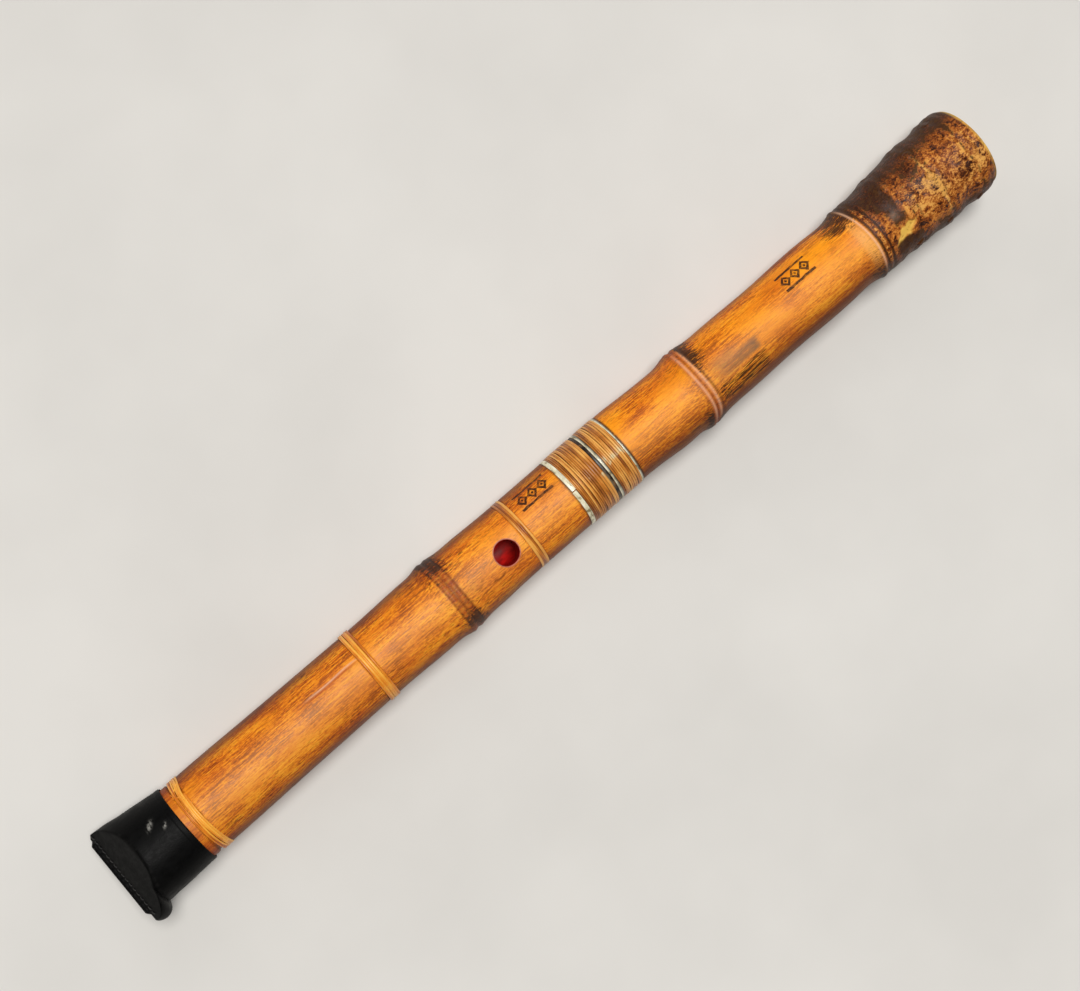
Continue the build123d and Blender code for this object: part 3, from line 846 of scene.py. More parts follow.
def lower_marks(piece):
    """Colour marks of the lower section, from the joint down to the root end."""
    x, angle, radius = corner_places(piece)
    ring = drifted(x, angle, [node_three, node_four, node_five, node_six])
    away = np.abs(np.sin(angle + math.radians(8)))
    patchy = step_up(waves(x, angle, 18, 9, 14, 8), -0.2, 1.2)
    rough = root_share(x, angle)
    # Painted shade: a dark line on the culm along the joint ring's edge.
    edges = bump_at(x, lower_ring_x - 0.2, 0.5)
    ridge_three = within(ring, node_three - 1.0, node_three + 3.0, 0.8)
    grooves = bumps(ring, (node_three + 0.2, 0.5, 0.5), (node_three - 2.9, 0.8, 0.75))
    grooves = grooves + bumps(ring, (node_three + 3.4, 0.5, 0.3), (node_four + 0.3, 0.7, 1.1))
    dash = within(x, 182.8, 187.8, 1.5) * facing(angle, 51, 1.5, 2)
    mark(piece, "burn", 0.8 * grooves + edges + 0.8 * dash)
    below = node_three - 1.9 - ring
    on_root_side = step_up(below, -0.9, 0.3)
    top_soot = on_root_side * step_up(below, 11, 0) * facing(angle, -62, 42, 52)
    back_soot = step_up(np.abs(below), 9, 0) * facing(angle, 116, 58, 30)
    low_soot = bump_at(ring, node_three + 4.6, 2.6) * facing(angle, 72, 32, 24)
    hatch = within(x, 139.2, 167.8, 5) * facing(angle, 35, 14, 6)
    lines = step_up(np.sin(angle * 110 + 3 * waves(x, angle, 30, 3, 6, 12)), -0.4, 0.5)
    hatch = hatch * (0.35 + 0.65 * lines)
    streaks = step_up(x, 92, 72) * (x > node_four) * facing(angle, -78, 44, 30)
    near_four = bump_at(x, node_four + 3, 6) * facing(angle, 96, 48, 24)
    soot = top_soot + 0.8 * back_soot + 0.8 * low_soot + 0.8 * hatch + 0.9 * streaks + 0.7 * near_four
    mark(piece, "soot", (soot + 0.12 * away * patchy) * (1 - 0.6 * ridge_three))
    near_nodes = bumps(x, (node_three, 10, 1), (node_four, 13, 1))
    limb = 0.2 + 0.8 * step_up(away, 0.25, 0.9)
    mark(piece, "flecks", limb * (0.4 + 0.7 * near_nodes + 0.4 * patchy))
    mark(piece, "shade", 0.6 * step_up(away, 0.8, 1.0) + facing(angle, 82, 42, 54))
    smooth_root = 0.4 * within(x, 15, 26.5, 6) * facing(angle, -2, 20, 30)
    mark(piece, "redness", np.where(rough > 0.5, 0.75 * smooth_root, 0.35 * ridge_three))
    # Painted highlight: a paler band along the top, and on the crest on the mouth side of node four.
    highlight_band = beside(angle, 8, 0.45)
    near_ring = within(ring, node_four + 1.2, node_four + 7, 3)
    mark(piece, "painted_highlight", 0.4 * highlight_band + 0.7 * near_ring * facing(angle, 4, 44, 40))
    # Painted light: brighter golden patches on the top side, towards the key light, off the root.
    bright = 0.7 + 0.5 * waves(x, angle, 40, 3, 12, 19)
    mark(piece, "painted_light", 0.9 * bright * facing(angle, -22, 34, 40) * (1 - rough))
    ridge_lines = bumps(ring, (node_three + 1.7, 0.7, 1), (node_three - 1.3, 0.6, 1))
    crest = bump_at(ring, node_four + 1.9, 0.45) * facing(angle, -10, 62, 40)
    mark(piece, "gleam", 0.7 * crest + 0.5 * ridge_lines * facing(angle, 0, 60, 40))
    square = within(x, 139.8, 160, 2.5) * facing(angle, 6.5, 9, 5)
    square = square * (0.4 + 0.6 * step_up(x, 160, 143))
    haze = within(x, 150, 165, 8) * facing(angle, 2, 16, 16)
    # On the root, a painted grey highlight on the top; on the culm, a grey patch and a grey haze.
    grey_sheen = bump_at(x, 55.3, 2.6) * facing(angle, 0, 6, 10)
    culm_grey = 0.9 * square + 0.5 * haze * (1 - square)
    mark(piece, "grey_and_sheen", np.where(rough > 0.5, 0.35 * grey_sheen, culm_grey))
    mark(piece, "root", rough)
    root_marks(piece, x, angle, radius, ring)


def root_marks(piece, x, angle, radius, ring):
    """Cream, dark, pared and end-grain places of the root end; the dark places take in painted shade down
    both flanks and under the pared step.
    """
    light = facing(angle, 4, 24, 40)
    blotchy = 0.5 + 0.5 * waves(x, angle, 12, 8, 20, 10)
    cream = within(x, 2, 48, 8) * (0.05 + 0.85 * light)
    ridge_four = bump_at(ring, node_four - 1.8, 0.6)
    ridge_six = bump_at(ring + 0.5 * blotchy, node_six + 1.7, 0.9) * facing(angle, 0, 44, 30)
    mark(piece, "cream", cream * (0.45 + 0.55 * blotchy) + 0.7 * ridge_six + 0.55 * ridge_four)
    dark = 1.2 * within(x, 51, 62.5, 5) * facing(angle, -55, 38, 36)
    dark = dark + 0.9 * within(x, 50.5, 57, 4) * facing(angle, -10, 22, 20)
    dark = dark + 0.8 * bump_at(x, 36.5, 5) * beside(angle, -31, 0.26)
    # Painted shade down both flanks.
    dark = dark + 0.9 * facing(angle, -80, 36, 40) + 0.85 * facing(angle, 84, 32, 36)
    dark = dark + 0.35 * facing(angle, 180, 75, 40) * blotchy
    # Painted shadow below the step of the pared flat.
    dark = dark + 0.9 * within(x, 47, 61, 4) * facing(angle, 46, 10, 10)
    dark = dark + bumps(ring, (node_four, 0.7, 1.1), (node_four - 3.6, 0.7, 1.1))
    small_grooves = [(groove, 0.9, 0.3) for groove in (node_five, node_five - 3, node_six, node_seven)]
    dark = dark + bumps(ring + 0.7 * blotchy, *small_grooves)
    mark(piece, "dark_patches_and_shade", dark)
    pared = np.zeros_like(x)
    for flat in cut_flats():
        share, plane = flat_share(x, angle, flat)
        pared = np.maximum(pared, flat[5] * share * (radius > plane - 0.3))
    rim = step_up(x, 2.6, 1.0) * (radius > 18.4)
    mark(piece, "cut_wood", np.maximum(pared, 0.7 * rim * (0.5 + 0.5 * blotchy)))
    mark(piece, "end_face", (x < 0.35) * (radius < 18.9))


def lower_culm(material):
    """Lower section: skin with its nodes, scarred root end with a rounded rim, plain inside and holes."""
    near = [root_x + place for place in range(0, 64, 3)] + [node_three, node_four, lower_ring_x]
    rows = spaced(1.0, lower_ring_x, 1.3, 0.42, near, 4.5)
    first = float(np.interp(rows[0], *LOWER_SKIN))
    flat_edge = 18.4
    lining, socket = LININGS[LOWER], rim_radius("joint_socket", joint_x)
    lining_end = span(lining)[1]
    bore_wall = rim_radius(lining, lining_end)
    before = [(joint_x, socket), (lining_end, socket), (lining_end, bore_wall), (25, bore_wall)]
    before += [(root_x, rim_radius(lining, root_x))]
    before += [(root_x, radius) for radius in (12, 14, 16, 17.4, flat_edge)]
    for step in np.linspace(0.15, 0.9, 6):
        turn = step * math.pi / 2
        before.append((root_x + (1 - math.cos(turn)), flat_edge + (first - flat_edge) * math.sin(turn)))
    after = [(lower_ring_x, core_radius), (joint_x, core_radius)]
    piece = closed_culm("lower_culm", rows, lower_skin, before, after)
    cut(piece, [hole_cutter(centre, -1, front_hole_radius + lacquer) for centre in lower_front_x])
    lower_marks(piece)
    return finish_piece(piece, LOWER, "root_bamboo", material, "lower_tube")


def hole_rim(name, centre, side, radius, outside, body, material):
    """Lacquer that lines the upper part of a hole's wall and turns over its edge onto the skin."""
    turn = np.linspace(0, TAU, 96, endpoint=False)
    sunk = -4.0
    sunk_top = np.abs(corners_of(LININGS[body])[:, 2]).max() - 0.3  # just inside the CAD lining's hole walls
    profile = [(0, sunk), (0, -0.5), (0.06, -0.2), (0.2, 0), (0.4, 0.05)]
    profile += [(0.62, 0.04), (0.7, -0.03), (0.42, -0.3), (0.42, sunk)]
    rings = []
    for extra, rise in profile:
        x = centre + (radius + extra) * np.cos(turn)
        y = (radius + extra) * np.sin(turn)
        z = np.full_like(x, 16)
        for _ in range(3):
            z = np.sqrt(outside(x, np.arctan2(y, side * z)) ** 2 - y**2)
        level = np.minimum(z + rise, sunk_top) if rise == sunk else z + rise
        rings.append(np.stack([x, y, side * level], axis=-1))
    piece = sheet(name, np.array(rings), wrap_rows=True, wrap_columns=True)
    x, y, _ = vertices(piece).T
    away = np.hypot(x - centre, y)
    mark(piece, "rim", step_up(away, radius + 0.05, radius + 0.3))
    return finish_piece(piece, body, "bore_lacquer", material)


# ---------------------------------------------------------------- bindings, windings and rings


def strand(name, path, outwards, width, drop, depth):
    """Split cane laid along a path: domed outside, flat inside, and of one width or one for each point."""
    along = np.gradient(path, axis=0)
    side = np.cross(along, outwards)
    side /= np.linalg.norm(side, axis=1, keepdims=True)
    width = np.broadcast_to(width, len(path))[:, None]
    section = [(k / 2, -drop * abs(k) ** 2.2) for k in np.linspace(-1, 1, 9)]
    section += [(0.46, -depth), (-0.46, -depth)]
    columns = [path + u * width * side + v * outwards for u, v in section]
    return sheet(name, np.stack(columns, axis=1), wrap_columns=True, cap_ends=True)


def along_flute(x, radius, angle):
    """Path through places, radii and angles, and the direction away from the flute's axis along it."""
    return polar(x, radius, angle), polar(0, 1, angle)


def strand_widths(turns, seed):
    """Edges of strands lying side by side, in shares of their band: uneven, as split cane is."""
    draw = np.random.default_rng(SEED + seed)
    widths = draw.uniform(0.82, 1.18, turns)
    return np.concatenate([[0], np.cumsum(widths) / widths.sum()])


def wound(name, node, edges, crown, step_angle, drop, seed, wander=0.1, bend=0, fullness=0.97):
    """Cane wound side by side over a node's span; at step_angle it moves on to its next place."""
    start, end = span(node)
    draw = np.random.default_rng(SEED + seed)
    turns = len(edges) - 1
    turn = np.linspace(0, turns, turns * 150 + 1)[:-1]
    whole = np.floor(turn).astype(int)
    step = step_up(turn - whole, 0.9, 1.0) * (whole < turns - 1)
    middles, widths = (edges[:-1] + edges[1:]) / 2, np.diff(edges)
    following = np.minimum(whole + 1, turns - 1)
    place = middles[whole] * (1 - step) + middles[following] * step
    width = (widths[whole] * (1 - step) + widths[following] * step) * (end - start) * fullness
    heights = draw.uniform(-0.05, 0.05, turns)
    radius = crown + heights[whole] * (1 - step) + heights[following] * step
    angle = math.radians(step_angle) + TAU * turn
    inset = np.minimum(place, 1 - place)
    sway = wander * waves(10 * turn, angle, 16, 3, 10, seed) * step_up(inset, 0, 0.3)
    x = start + (end - start) * place + sway
    x = x - bend * (np.sin(angle) ** 2 + 0.45 * np.sin(angle))
    return strand(name, *along_flute(x, radius, angle), width, drop, 0.75)


def tuck(name, node, crown, angle, spread, width, lean=1):
    """End of a binding's cane that crosses over its turns and is pulled under them."""
    start, end = span(node)
    t = np.linspace(0, 1, 60)
    x = start + (end - start) * (0.5 + lean * 0.52 * np.cos(math.pi * t))
    turn = math.radians(angle) + math.radians(spread) * (t - 0.5)
    radius = crown + 0.22 * np.sin(math.pi * t) ** 0.7 - 0.35 * (1 - np.sin(math.pi * t) ** 0.5)
    taper = width * (0.6 + 0.4 * np.sin(math.pi * t))
    return strand(name, *along_flute(x, radius, turn), taper, 0.25, 0.6)


def strand_marks(piece, node, edges, crown, shade_depth, seed, bend=0, worn_spots=()):
    """Tone of each turn, painted shade in the gaps between turns and spots of pale filler.

    A spot is (share of the span, angle, width, spread).
    """
    x, angle, radius = corner_places(piece)
    x = x + bend * (np.sin(angle) ** 2 + 0.45 * np.sin(angle))
    start, end = span(node)
    share = (x - start) / (end - start)
    turn = np.clip(np.searchsorted(edges, share) - 1, 0, len(edges) - 2)
    draw = np.random.default_rng(SEED + seed)
    tones = draw.uniform(0.15, 0.85, len(edges) - 1)
    drift = 0.2 * waves(3 * turn, angle, 5, 4, 10, seed)
    mark(piece, "tone", tones[turn] + drift)
    # Painted shade: darker where a strand lies below the crown, in the gaps between turns.
    mark(piece, "grime_and_shade", step_up(crown - radius, shade_depth, shade_depth + 0.14) * 0.8)
    worn = np.zeros_like(x)
    for place, centre, width, spread in worn_spots:
        worn += bump_at(share, place, width) * beside(angle, centre, math.radians(spread))
    mark(piece, "worn", worn)


def binding(node, turns, step_angle, seed, material, slot, tucks=(), wander=0.1, bend=0):
    """Rattan binding of a few turns side by side; tucks are its crossing ends, as (angle, spread, lean)."""
    crown = outer(node)
    edges = strand_widths(turns, seed)
    width = (span(node)[1] - span(node)[0]) / turns
    parts = [wound("turns", node, edges, crown, step_angle, 0.3, seed, wander, bend, 1.06)]
    parts += [tuck("tuck", node, crown, angle, spread, 0.8 * width, lean) for angle, spread, lean in tucks]
    piece = join(f"{node}_strands", parts)
    strand_marks(piece, node, edges, crown, 0.26, seed, bend)
    return finish_piece(piece, UPPER, slot, material, node)


def winding(node, edges, body, step_angle, seed, material, worn_spots):
    """Fine cane winding over the middle joint."""
    crown = outer(node)
    piece = wound(f"{node}_strands", node, edges, crown, step_angle, 0.34, seed, 0.16)
    strand_marks(piece, node, edges, crown, 0.2, seed, worn_spots=worn_spots)
    return finish_piece(piece, body, "cane_winding", material, node)


def ring_band(name, start, end, inner, radius, soft, wobble, seed, split=None):
    """Ring with softened edges that wander; split is (angle, opening, shift), the first two in degrees."""
    profile = [(0, inner - radius, 0), (0, -soft, 0), (0, -0.3 * soft, 0.3 * soft), (0, 0, soft)]
    profile += [(1, 0, -soft), (1, -0.3 * soft, -0.3 * soft), (1, -soft, 0), (1, inner - radius, 0)]
    if split:
        opening = math.radians(split[1]) / 2
        angle = math.radians(split[0]) + np.linspace(opening, TAU - opening, 200)
        shift = split[2] * (step_up(angle - angle[0], 0.9, 0) - step_up(angle[-1] - angle, 0.9, 0))
    else:
        angle = np.linspace(0, TAU, 200, endpoint=False)
        shift = 0 * angle
    sides = ((start, seed), (end, seed + 1))
    edges = [side + shift + wobble * waves(0 * angle, angle, 1, 6, 10, number) for side, number in sides]
    height = radius + 0.3 * wobble * waves(0 * angle, angle, 1, 9, 10, seed + 2)
    columns = [polar(edges[side] + across, height + rise, angle) for side, rise, across in profile]
    grid = np.stack(columns, axis=1)
    return sheet(name, grid, wrap_rows=not split, wrap_columns=True, cap_ends=bool(split))


def ivory_ring(node, body, slot, material, seed, soft, wobble, split=None, dark_edge=0):
    """Pale ring with painted shade along its rounded edges and stains over it; dark_edge is how wide a strip
    nearer the root is dark.
    """
    start, end = span(node)
    piece = ring_band(f"{node}_band", start, end, core_radius - 0.4, outer(node), soft, wobble, seed, split)
    x, angle, radius = corner_places(piece)
    worn = 0.5 + 0.5 * waves(x, angle, 3, 12, 20, seed)
    # Painted shade where the ring falls away from its crown at its edges, with random stains.
    shade_and_stains = step_up(outer(node) - radius, 0.1, 0.3) + 0.35 * step_up(worn, 0.9, 1.3)
    strip = step_up(x, start + dark_edge + 0.1, start + dark_edge - 0.1) * (dark_edge > 0)
    mark(piece, "grime_and_shade", shade_and_stains + 0.95 * strip)
    return finish_piece(piece, body, slot, material, node)


# ---------------------------------------------------------------- leather cap


CAP_START, CAP_SEAM = span("cap_sleeve")
CAP_RADIUS = rim_radius("cap_sleeve", CAP_START)
CAP_TURN = math.radians(22)  # how far the cap is turned on the flute
CAP_HALF_WIDTH = unturned("cap_sleeve", CAP_TURN)[1][1]
CAP_EDGE = 1.2  # half thickness at the seam
CAP_SLANT = 13.6  # length of the slanting faces along the flute
CAP_SLOPE = (CAP_RADIUS - CAP_EDGE) / CAP_SLANT


def soft_least(a, b, soft):
    """Lesser of two values, blended where they are close."""
    return -soft * np.log(np.exp(-a / soft) + np.exp(-b / soft))


def cap_half_width(x, side):
    """Half width of the cap in plan: it flares to a rounded lobe on one side and a corner on the other."""
    share = (x - CAP_START) / (CAP_SEAM - CAP_START)
    widest = CAP_HALF_WIDTH - 1.1
    flare = CAP_RADIUS + (widest - CAP_RADIUS) * share
    corner = widest - 1.4 * step_up(x, CAP_SEAM - 2.2, CAP_SEAM) ** 2
    plain = np.minimum(flare, corner)
    tame = CAP_RADIUS + 1.3 * share - 0.5 * bump_at(x, CAP_SEAM - 8.4, 1.5)
    lobe = 20.2 + np.sqrt(np.maximum(4.8**2 - (x - CAP_SEAM + 3.9) ** 2, 0))
    lobed = np.maximum(tame, lobe * (x > CAP_SEAM - 8.6))
    return np.where(side > 0, lobed, plain)


def cap_turned(piece):
    """Turns a piece of the cap by as much as the cap is turned on the flute."""
    piece.data.transform(Matrix.Rotation(CAP_TURN, 4, "X"))
    return piece


def cap_surface(x, turn, thinner=0.0):
    """Points of the cap's outside, or of its inside if thinner is more than 0."""
    y = (cap_half_width(x, np.sin(turn)) - thinner) * np.sin(turn)
    full = (CAP_RADIUS - thinner) * np.abs(np.cos(turn))
    slant = CAP_EDGE - 0.9 * thinner + CAP_SLOPE * (CAP_SEAM - x)
    slant = slant + 0.25 * np.cos(y / 7) * step_up(x, CAP_SEAM, CAP_SEAM - 6)
    z = np.maximum(soft_least(full, slant, 0.35), 0) * np.sign(np.cos(turn))
    x, y, z = np.broadcast_arrays(x, y, z)
    return np.stack([x, y, z], axis=-1)


def cap_wrinkles(x, turn):
    """Small rise and fall of the leather, stronger towards the seam, with a hem line near the mouth."""
    near_seam = step_up(x, CAP_START + 8, CAP_SEAM - 6) * step_up(x, CAP_SEAM, CAP_SEAM - 2)
    folds = 0.16 * waves(x, turn, 9, 5, 16, 20) * near_seam + 0.05 * waves(x, turn, 25, 4, 12, 21)
    hem = -0.08 * bump_at(x, CAP_START + 3.0, 0.35) + 0.08 * step_up(x, CAP_START + 3, CAP_START + 2)
    return folds + hem


def cap_body(material):
    """Sleeve of the cap: outside, rolled mouth edge and inside in one closed mesh."""
    rows = spaced(CAP_START + 0.5, CAP_SEAM, 0.8, 0.25, [CAP_START + 3, CAP_SEAM - 6], 6.5)
    x, turn = culm_grid(rows, 288)
    outside = cap_surface(x, turn)
    outwards = np.stack([0 * outside[..., 1], outside[..., 1], outside[..., 2]], axis=-1)
    outwards /= np.linalg.norm(outwards, axis=-1, keepdims=True)
    outside = outside + cap_wrinkles(x, turn)[..., None] * outwards
    wall = 0.6
    inner = cap_surface(np.minimum(x, CAP_SEAM - 0.9), turn, wall)[::-1]
    rim = []
    for step in np.linspace(0.1, 0.9, 6):
        half = math.pi * step
        depth = wall / 2 * (1 + math.cos(half))
        place = CAP_START + 0.5 - 0.5 * math.sin(half)
        rim.append(cap_surface(np.array([[place]]), turn, depth))
    grid = np.concatenate([inner, *rim, outside])
    piece = sheet("cap_leather", grid, wrap_columns=True, cap_ends=True)
    x, y, z = vertices(piece).T
    rounded = CAP_RADIUS * np.sqrt(np.maximum(0, 1 - (y / CAP_HALF_WIDTH) ** 2))
    crease = np.abs(CAP_EDGE + CAP_SLOPE * (CAP_SEAM - x) - rounded)
    edge = step_up(x, CAP_START + 0.9, CAP_START + 0.3)
    mark(piece, "rub", 0.5 * step_up(crease, 1.6, 0.2) * (x > CAP_SEAM - 14) + 0.4 * edge)
    scuffs = np.zeros_like(x)
    for place, angle, length, width in ((11.4, -16, 1.9, 0.8), (6.3, -3, 1.1, 0.6)):
        along, across = x - CAP_START - place, y - CAP_RADIUS * math.sin(math.radians(angle))
        lengthwise, sidewise = 0.7 * (along + across), 0.7 * (along - across)
        scuffs += bump_at(np.hypot(lengthwise / length, sidewise / width), 0, 1)
    mark(piece, "scuff", scuffs * (z > 0))
    return finish_piece(cap_turned(piece), CAP, "cap_leather", material, "cap_sleeve")


def cap_welt(material):
    """Folded strip along the seam: a soft rounded bar with a groove where its two edges meet."""
    start, end = span("cap_end_welt")
    low, high = unturned("cap_end_welt", CAP_TURN)
    y = np.linspace(low[1] + 0.2, high[1] - 2.0, 120)
    turn = np.linspace(0, TAU, 28, endpoint=False)
    reach, thick = (end - start) + 0.4, high[2]
    sag = step_up(np.abs(y - y.mean()), 0.5 * (y[-1] - y[0]), 0.5 * (y[-1] - y[0]) - 2.5)
    rows = []
    for place, share in zip(y, sag):
        size = 0.25 + 0.75 * share
        ripple = 1 + 0.06 * math.sin(0.9 * place) + 0.05 * math.sin(2.3 * place + 1)
        across = thick * size * ripple * np.sin(turn)
        front = np.maximum(np.cos(turn), 0)
        groove = 0.22 * bump_at(np.sin(turn), 0, 0.3) * (front > 0)
        x = start - 0.4 + reach * size * front**0.7 - groove
        rows.append(np.stack([x, np.full_like(x, place), across], axis=-1))
    piece = sheet("cap_welt", np.array(rows), wrap_columns=True, cap_ends=True)
    x, _, _ = corner_places(piece)
    mark(piece, "rub", 0.5 * step_up(x, end - 0.8, end))
    mark(piece, "scuff", 0 * x)
    return finish_piece(cap_turned(piece), CAP, "cap_leather", material, "cap_end_welt")


def stitch(place, side):
    """One stitch across the slanting face beside the seam, its two ends sunk in the leather."""
    t = np.linspace(0, 1, 13)
    inset = 2.3
    slant = np.array([-1, 0, side * CAP_SLOPE]) / math.hypot(1, CAP_SLOPE)
    outwards = np.array([CAP_SLOPE, 0, side]) / math.hypot(1, CAP_SLOPE)
    foot = np.array([CAP_SEAM, place, side * CAP_EDGE]) + inset * slant
    rise = 0.42 * np.sin(math.pi * t) ** 0.6 - 0.22
    path = foot + np.outer((t - 0.5) * 2.1, (0, 1, 0)) + np.outer((t - 0.5) * 0.35, slant)
    path = path + np.outer(rise, outwards)
    turn = np.linspace(0, TAU, 10, endpoint=False)
    ring = 0.26 * (np.outer(np.cos(turn), slant) + np.outer(np.sin(turn), outwards))
    return sheet("stitch", path[:, None, :] + ring[None], wrap_columns=True, cap_ends=True)


def cap_stitches(material):
    """Two rows of stitches, one on each slanting face."""
    low, high = unturned("cap_stitching", CAP_TURN)
    places = np.linspace(low[1] + 0.95, high[1] - 2.2, 17)
    piece = join("cap_stitches", [stitch(place, side) for side in (1, -1) for place in places])
    return finish_piece(cap_turned(piece), CAP, "cap_thread", material, "cap_stitching")


def cap_felt(material):
    """Felt band inside the cap, softly uneven."""
    start, end = span("cap_lining")
    x, angle = culm_grid(np.linspace(start, end, 60), 200)
    fluff = 0.035 * waves(x, angle, 3, 40, 40, 30)
    radius = rim_radius("cap_lining", start)
    inside = polar(x, radius - 0.16 + fluff, angle)
    outside = polar(x[::-1], radius - 0.01, angle)
    piece = sheet("cap_felt_band", np.concatenate([inside, outside]), wrap_rows=True, wrap_columns=True)
    return finish_piece(piece, CAP, "cap_felt", material, "cap_lining")


# ---------------------------------------------------------------- the whole flute


def repaint(node, material):
    """Gives a carried-over CAD node its material."""
    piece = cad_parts[node]
    piece.data.materials.clear()
    piece.data.materials.append(material)


def culms():
    """Both sections of the culm with the lacquered rims of their holes; returns the lower one."""
    upper_culm(bamboo_material())
    lower = lower_culm(root_material())
    rim = rim_material()
    hole_rim("thumb_hole_rim", thumb_x, 1, hole_radius, upper_skin, UPPER, rim)
    fronts = (("upper", upper_front_x, upper_skin, UPPER), ("lower", lower_front_x, lower_skin, LOWER))
    for section, centres, outside, body in fronts:
        for number, centre in enumerate(centres):
            name = f"{section}_front_hole_rim_{number}"
            hole_rim(name, centre, -1, front_hole_radius, outside, body, rim)
    return lower


def rim_material():
    """Red lacquer, worn pale pink where it turns over a hole's edge."""
    s = Shader("lacquered_rim")
    cloud = s.noise((300, 500, 500))
    colour = s.mix(s.spread(cloud, 0.35, 0.65), (132, 12, 10), (200, 26, 18))
    worn = s.mark("rim") * s.spread(cloud, 0.3, 0.55, 0.5, 1.0)
    colour = s.mix(worn, colour, (196, 130, 104))
    return s.done(colour, s.spread(cloud, 0.3, 0.7, 0.4, 0.55), cloud, 0.1, 0.15, Specular_IOR_Level=0.12)


def bindings():
    """Three rattan bindings of the upper section."""
    golden = strand_material("golden_rattan", (176, 88, 12), (224, 132, 28), (244, 174, 62))
    brown = strand_material("worn_rattan", (146, 74, 14), (200, 118, 32), (238, 172, 78))
    binding("mouth_binding", 6, -42, 60, golden, "rattan", [(-40, 34, 1), (-58, 26, -1)], 0.22, 1.35)
    binding("upper_binding", 5, 150, 62, golden, "rattan", [(160, 28, 1)], 0.16)
    binding("thumb_binding", 4, 120, 64, brown, "dark_rattan", (), 0.12)


def joint():
    """Middle joint: two cane windings between rings, with dark pitch at the mating faces."""
    cane = strand_material("winding_cane", (138, 74, 18), (200, 124, 42), (236, 172, 84))
    ivory = ivory_material()
    pitch = dark_ring_material()
    wide = np.array([1.35, 1.3, 1.35, 1.2, 1.1, 0.9, 0.95, 0.85, 0.9, 0.85, 0.9, 0.85, 0.95, 0.9])
    edges = np.concatenate([[0], np.cumsum(wide) / wide.sum()])
    spots = [(0.1, -6, 0.06, 4), (0.42, -5, 0.05, 3), (0.05, 2, 0.05, 6), (0.3, 1, 0.04, 2)]
    winding("upper_joint_winding", edges, UPPER, 170, 71, cane, spots)
    spots = [(0.55, -5, 0.12, 4), (0.3, 1, 0.1, 4), (0.15, -2, 0.1, 9), (0.8, 2, 0.08, 5), (0.9, -9, 0.06, 4)]
    winding("lower_joint_winding", strand_widths(10, 72), LOWER, 200, 73, cane, spots)
    ivory_ring("upper_joint_ring", UPPER, "pale_ring", ivory, 80, 0.2, 0.04, (-3.4, 1.6, 0.12))
    ivory_ring("lower_edge_ring", LOWER, "pale_ring", ivory, 84, 0.2, 0.14, dark_edge=0.5)
    ivory_ring("lower_joint_ring", LOWER, "pale_ring", ivory, 88, 0.2, 0.1, dark_edge=0.4)
    start, end = span("upper_edge_ring")
    radius = outer("upper_edge_ring") - 0.15
    piece = ring_band("upper_edge_ring_band", start, end, core_radius - 0.4, radius, 0.25, 0.1, 92)
    x, angle, _ = corner_places(piece)
    worn = step_up(waves(0 * x, angle, 1, 7, 10, 93), -0.6, 1.0)
    mark(piece, "filler", step_up(x, start + 0.6, start + 1.0) * worn)
    finish_piece(piece, UPPER, "thin_ring", pitch, "upper_edge_ring")


def cap():
    """Leather cap with its seam."""
    leather = leather_material()
    cap_body(leather)
    cap_welt(leather)
    cap_stitches(thread_material())
    cap_felt(felt_material())


def carried_over():
    """CAD nodes that are shown as they are: the linings, the joint's wood and the blowing edge's horn."""
    red = lacquer_material()
    wood = wood_material()
    for lining in LININGS.values():
        repaint(lining, red)
    repaint("joint_tenon", wood)
    repaint("joint_socket", wood)
    repaint("mouth_edge_inlay", horn_material())


# ---------------------------------------------------------------- floor, light and camera


def lowest(piece, start, end):
    """Lowest corner of a piece between two places, as (place, height)."""
    co = vertices(piece)
    co = co[(co[:, 0] >= start) & (co[:, 0] <= end)]
    corner = co[np.argmin(co[:, 2])]
    return corner[0], corner[2]


def floor(lower):
    """Plain pale floor, tipped a little so that the root end and the cap both rest on it."""
    near_x, near_z = lowest(lower, root_x, 60)
    far_x, far_z = CAP_SEAM - CAP_SLANT, -CAP_RADIUS - 0.1
    tip = -math.atan2(far_z - near_z, far_x - near_x)
    bpy.ops.mesh.primitive_plane_add(size=60)
    plane = bpy.context.object
    plane.name = "floor"
    plane.rotation_euler = (0, tip, 0)
    plane.location = (near_x * MM, 0, near_z * MM)
    plane.data.materials.append(floor_material())


def lamp(name, energy, width, direction, colour):
    """Even light that comes from a direction; width is the angle, in degrees, that its source fills."""
    light = bpy.data.lights.new(name, "SUN")
    light.energy = energy
    light.angle = math.radians(width)
    light.color = colour
    holder = bpy.data.objects.new(name, light)
    holder.rotation_euler = (-Vector(direction)).to_track_quat("-Z", "Y").to_euler()
    bpy.context.scene.collection.objects.link(holder)


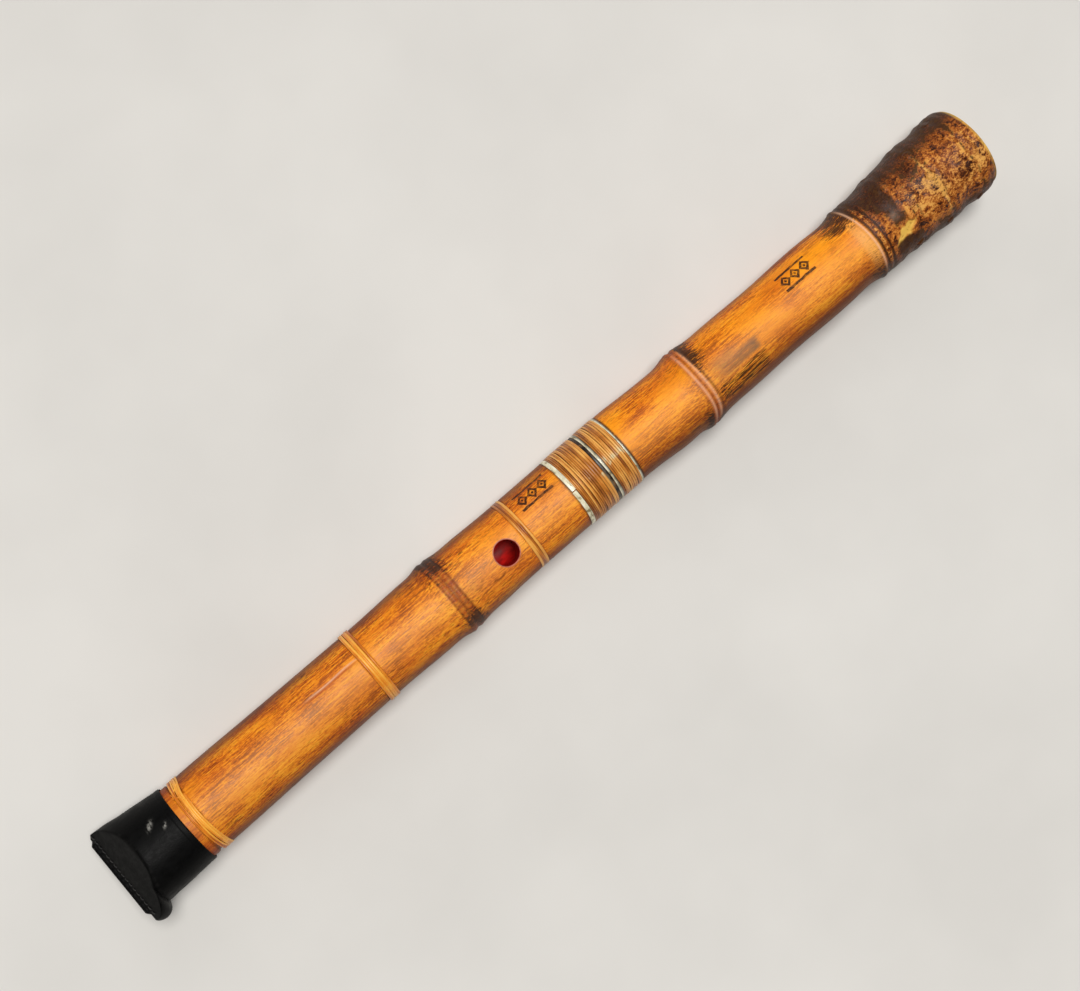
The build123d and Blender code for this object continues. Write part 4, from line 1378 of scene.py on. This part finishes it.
def lights():
    """Soft light from above, a weak fill from one side, and a surrounding that is dim but looks pale."""
    lamp("key", 3.05, 24, (-0.05, -0.24, 1.22), (1, 0.98, 0.95))
    lamp("fill", 0.26, 40, (-0.5, -0.9, 0.8), (0.95, 0.97, 1))
    world = bpy.data.worlds.new("surrounding")
    world.use_nodes = True
    tree = world.node_tree
    background = tree.nodes["Background"]
    background.inputs["Color"].default_value = (0.8, 0.8, 0.79, 1)
    dim, extra_where_seen = 0.12, 0.62
    seen = tree.nodes.new("ShaderNodeMath")
    seen.operation = "MULTIPLY_ADD"
    seen.inputs[1].default_value = extra_where_seen
    seen.inputs[2].default_value = dim
    tree.links.new(tree.nodes.new("ShaderNodeLightPath").outputs["Is Camera Ray"], seen.inputs[0])
    tree.links.new(seen.outputs[0], background.inputs["Strength"])
    bpy.context.scene.world = world


def camera():
    """Camera above the flute's mouth half, turned so that the flute runs from corner to corner."""
    lean, back, swing, turn = (math.radians(a) for a in (8, 8.5, 0.442, 41.04))
    height, before_mouth = 898, 94.2
    along = Vector((1, 0, 0))
    up = Vector((0, -math.sin(lean), math.cos(lean)))
    sideways = Vector((0, math.cos(lean), math.sin(lean)))
    forward = -up * math.cos(back) - along * math.sin(back)
    across = -along * math.cos(back) + up * math.sin(back)
    view = forward * math.cos(swing) - sideways * math.sin(swing)
    level = sideways * math.cos(swing) + forward * math.sin(swing)
    right = across * math.cos(turn) + level * math.sin(turn)
    top = across * math.sin(turn) - level * math.cos(turn)
    data = bpy.data.cameras.new("camera")
    data.lens = 68.33
    data.sensor_width = 36
    data.clip_start = 0.01
    holder = bpy.data.objects.new("camera", data)
    matrix = Matrix((right, top, -view)).transposed().to_4x4()
    matrix.translation = (Vector((mouth_x - before_mouth, 0, 0)) + up * height) * MM
    holder.matrix_world = matrix
    bpy.context.scene.collection.objects.link(holder)
    bpy.context.scene.camera = holder


lower_section = culms()
bindings()
joint()
cap()
carried_over()
floor(lower_section)
lights()
camera()
bpy.context.scene.view_settings.view_transform = "Standard"
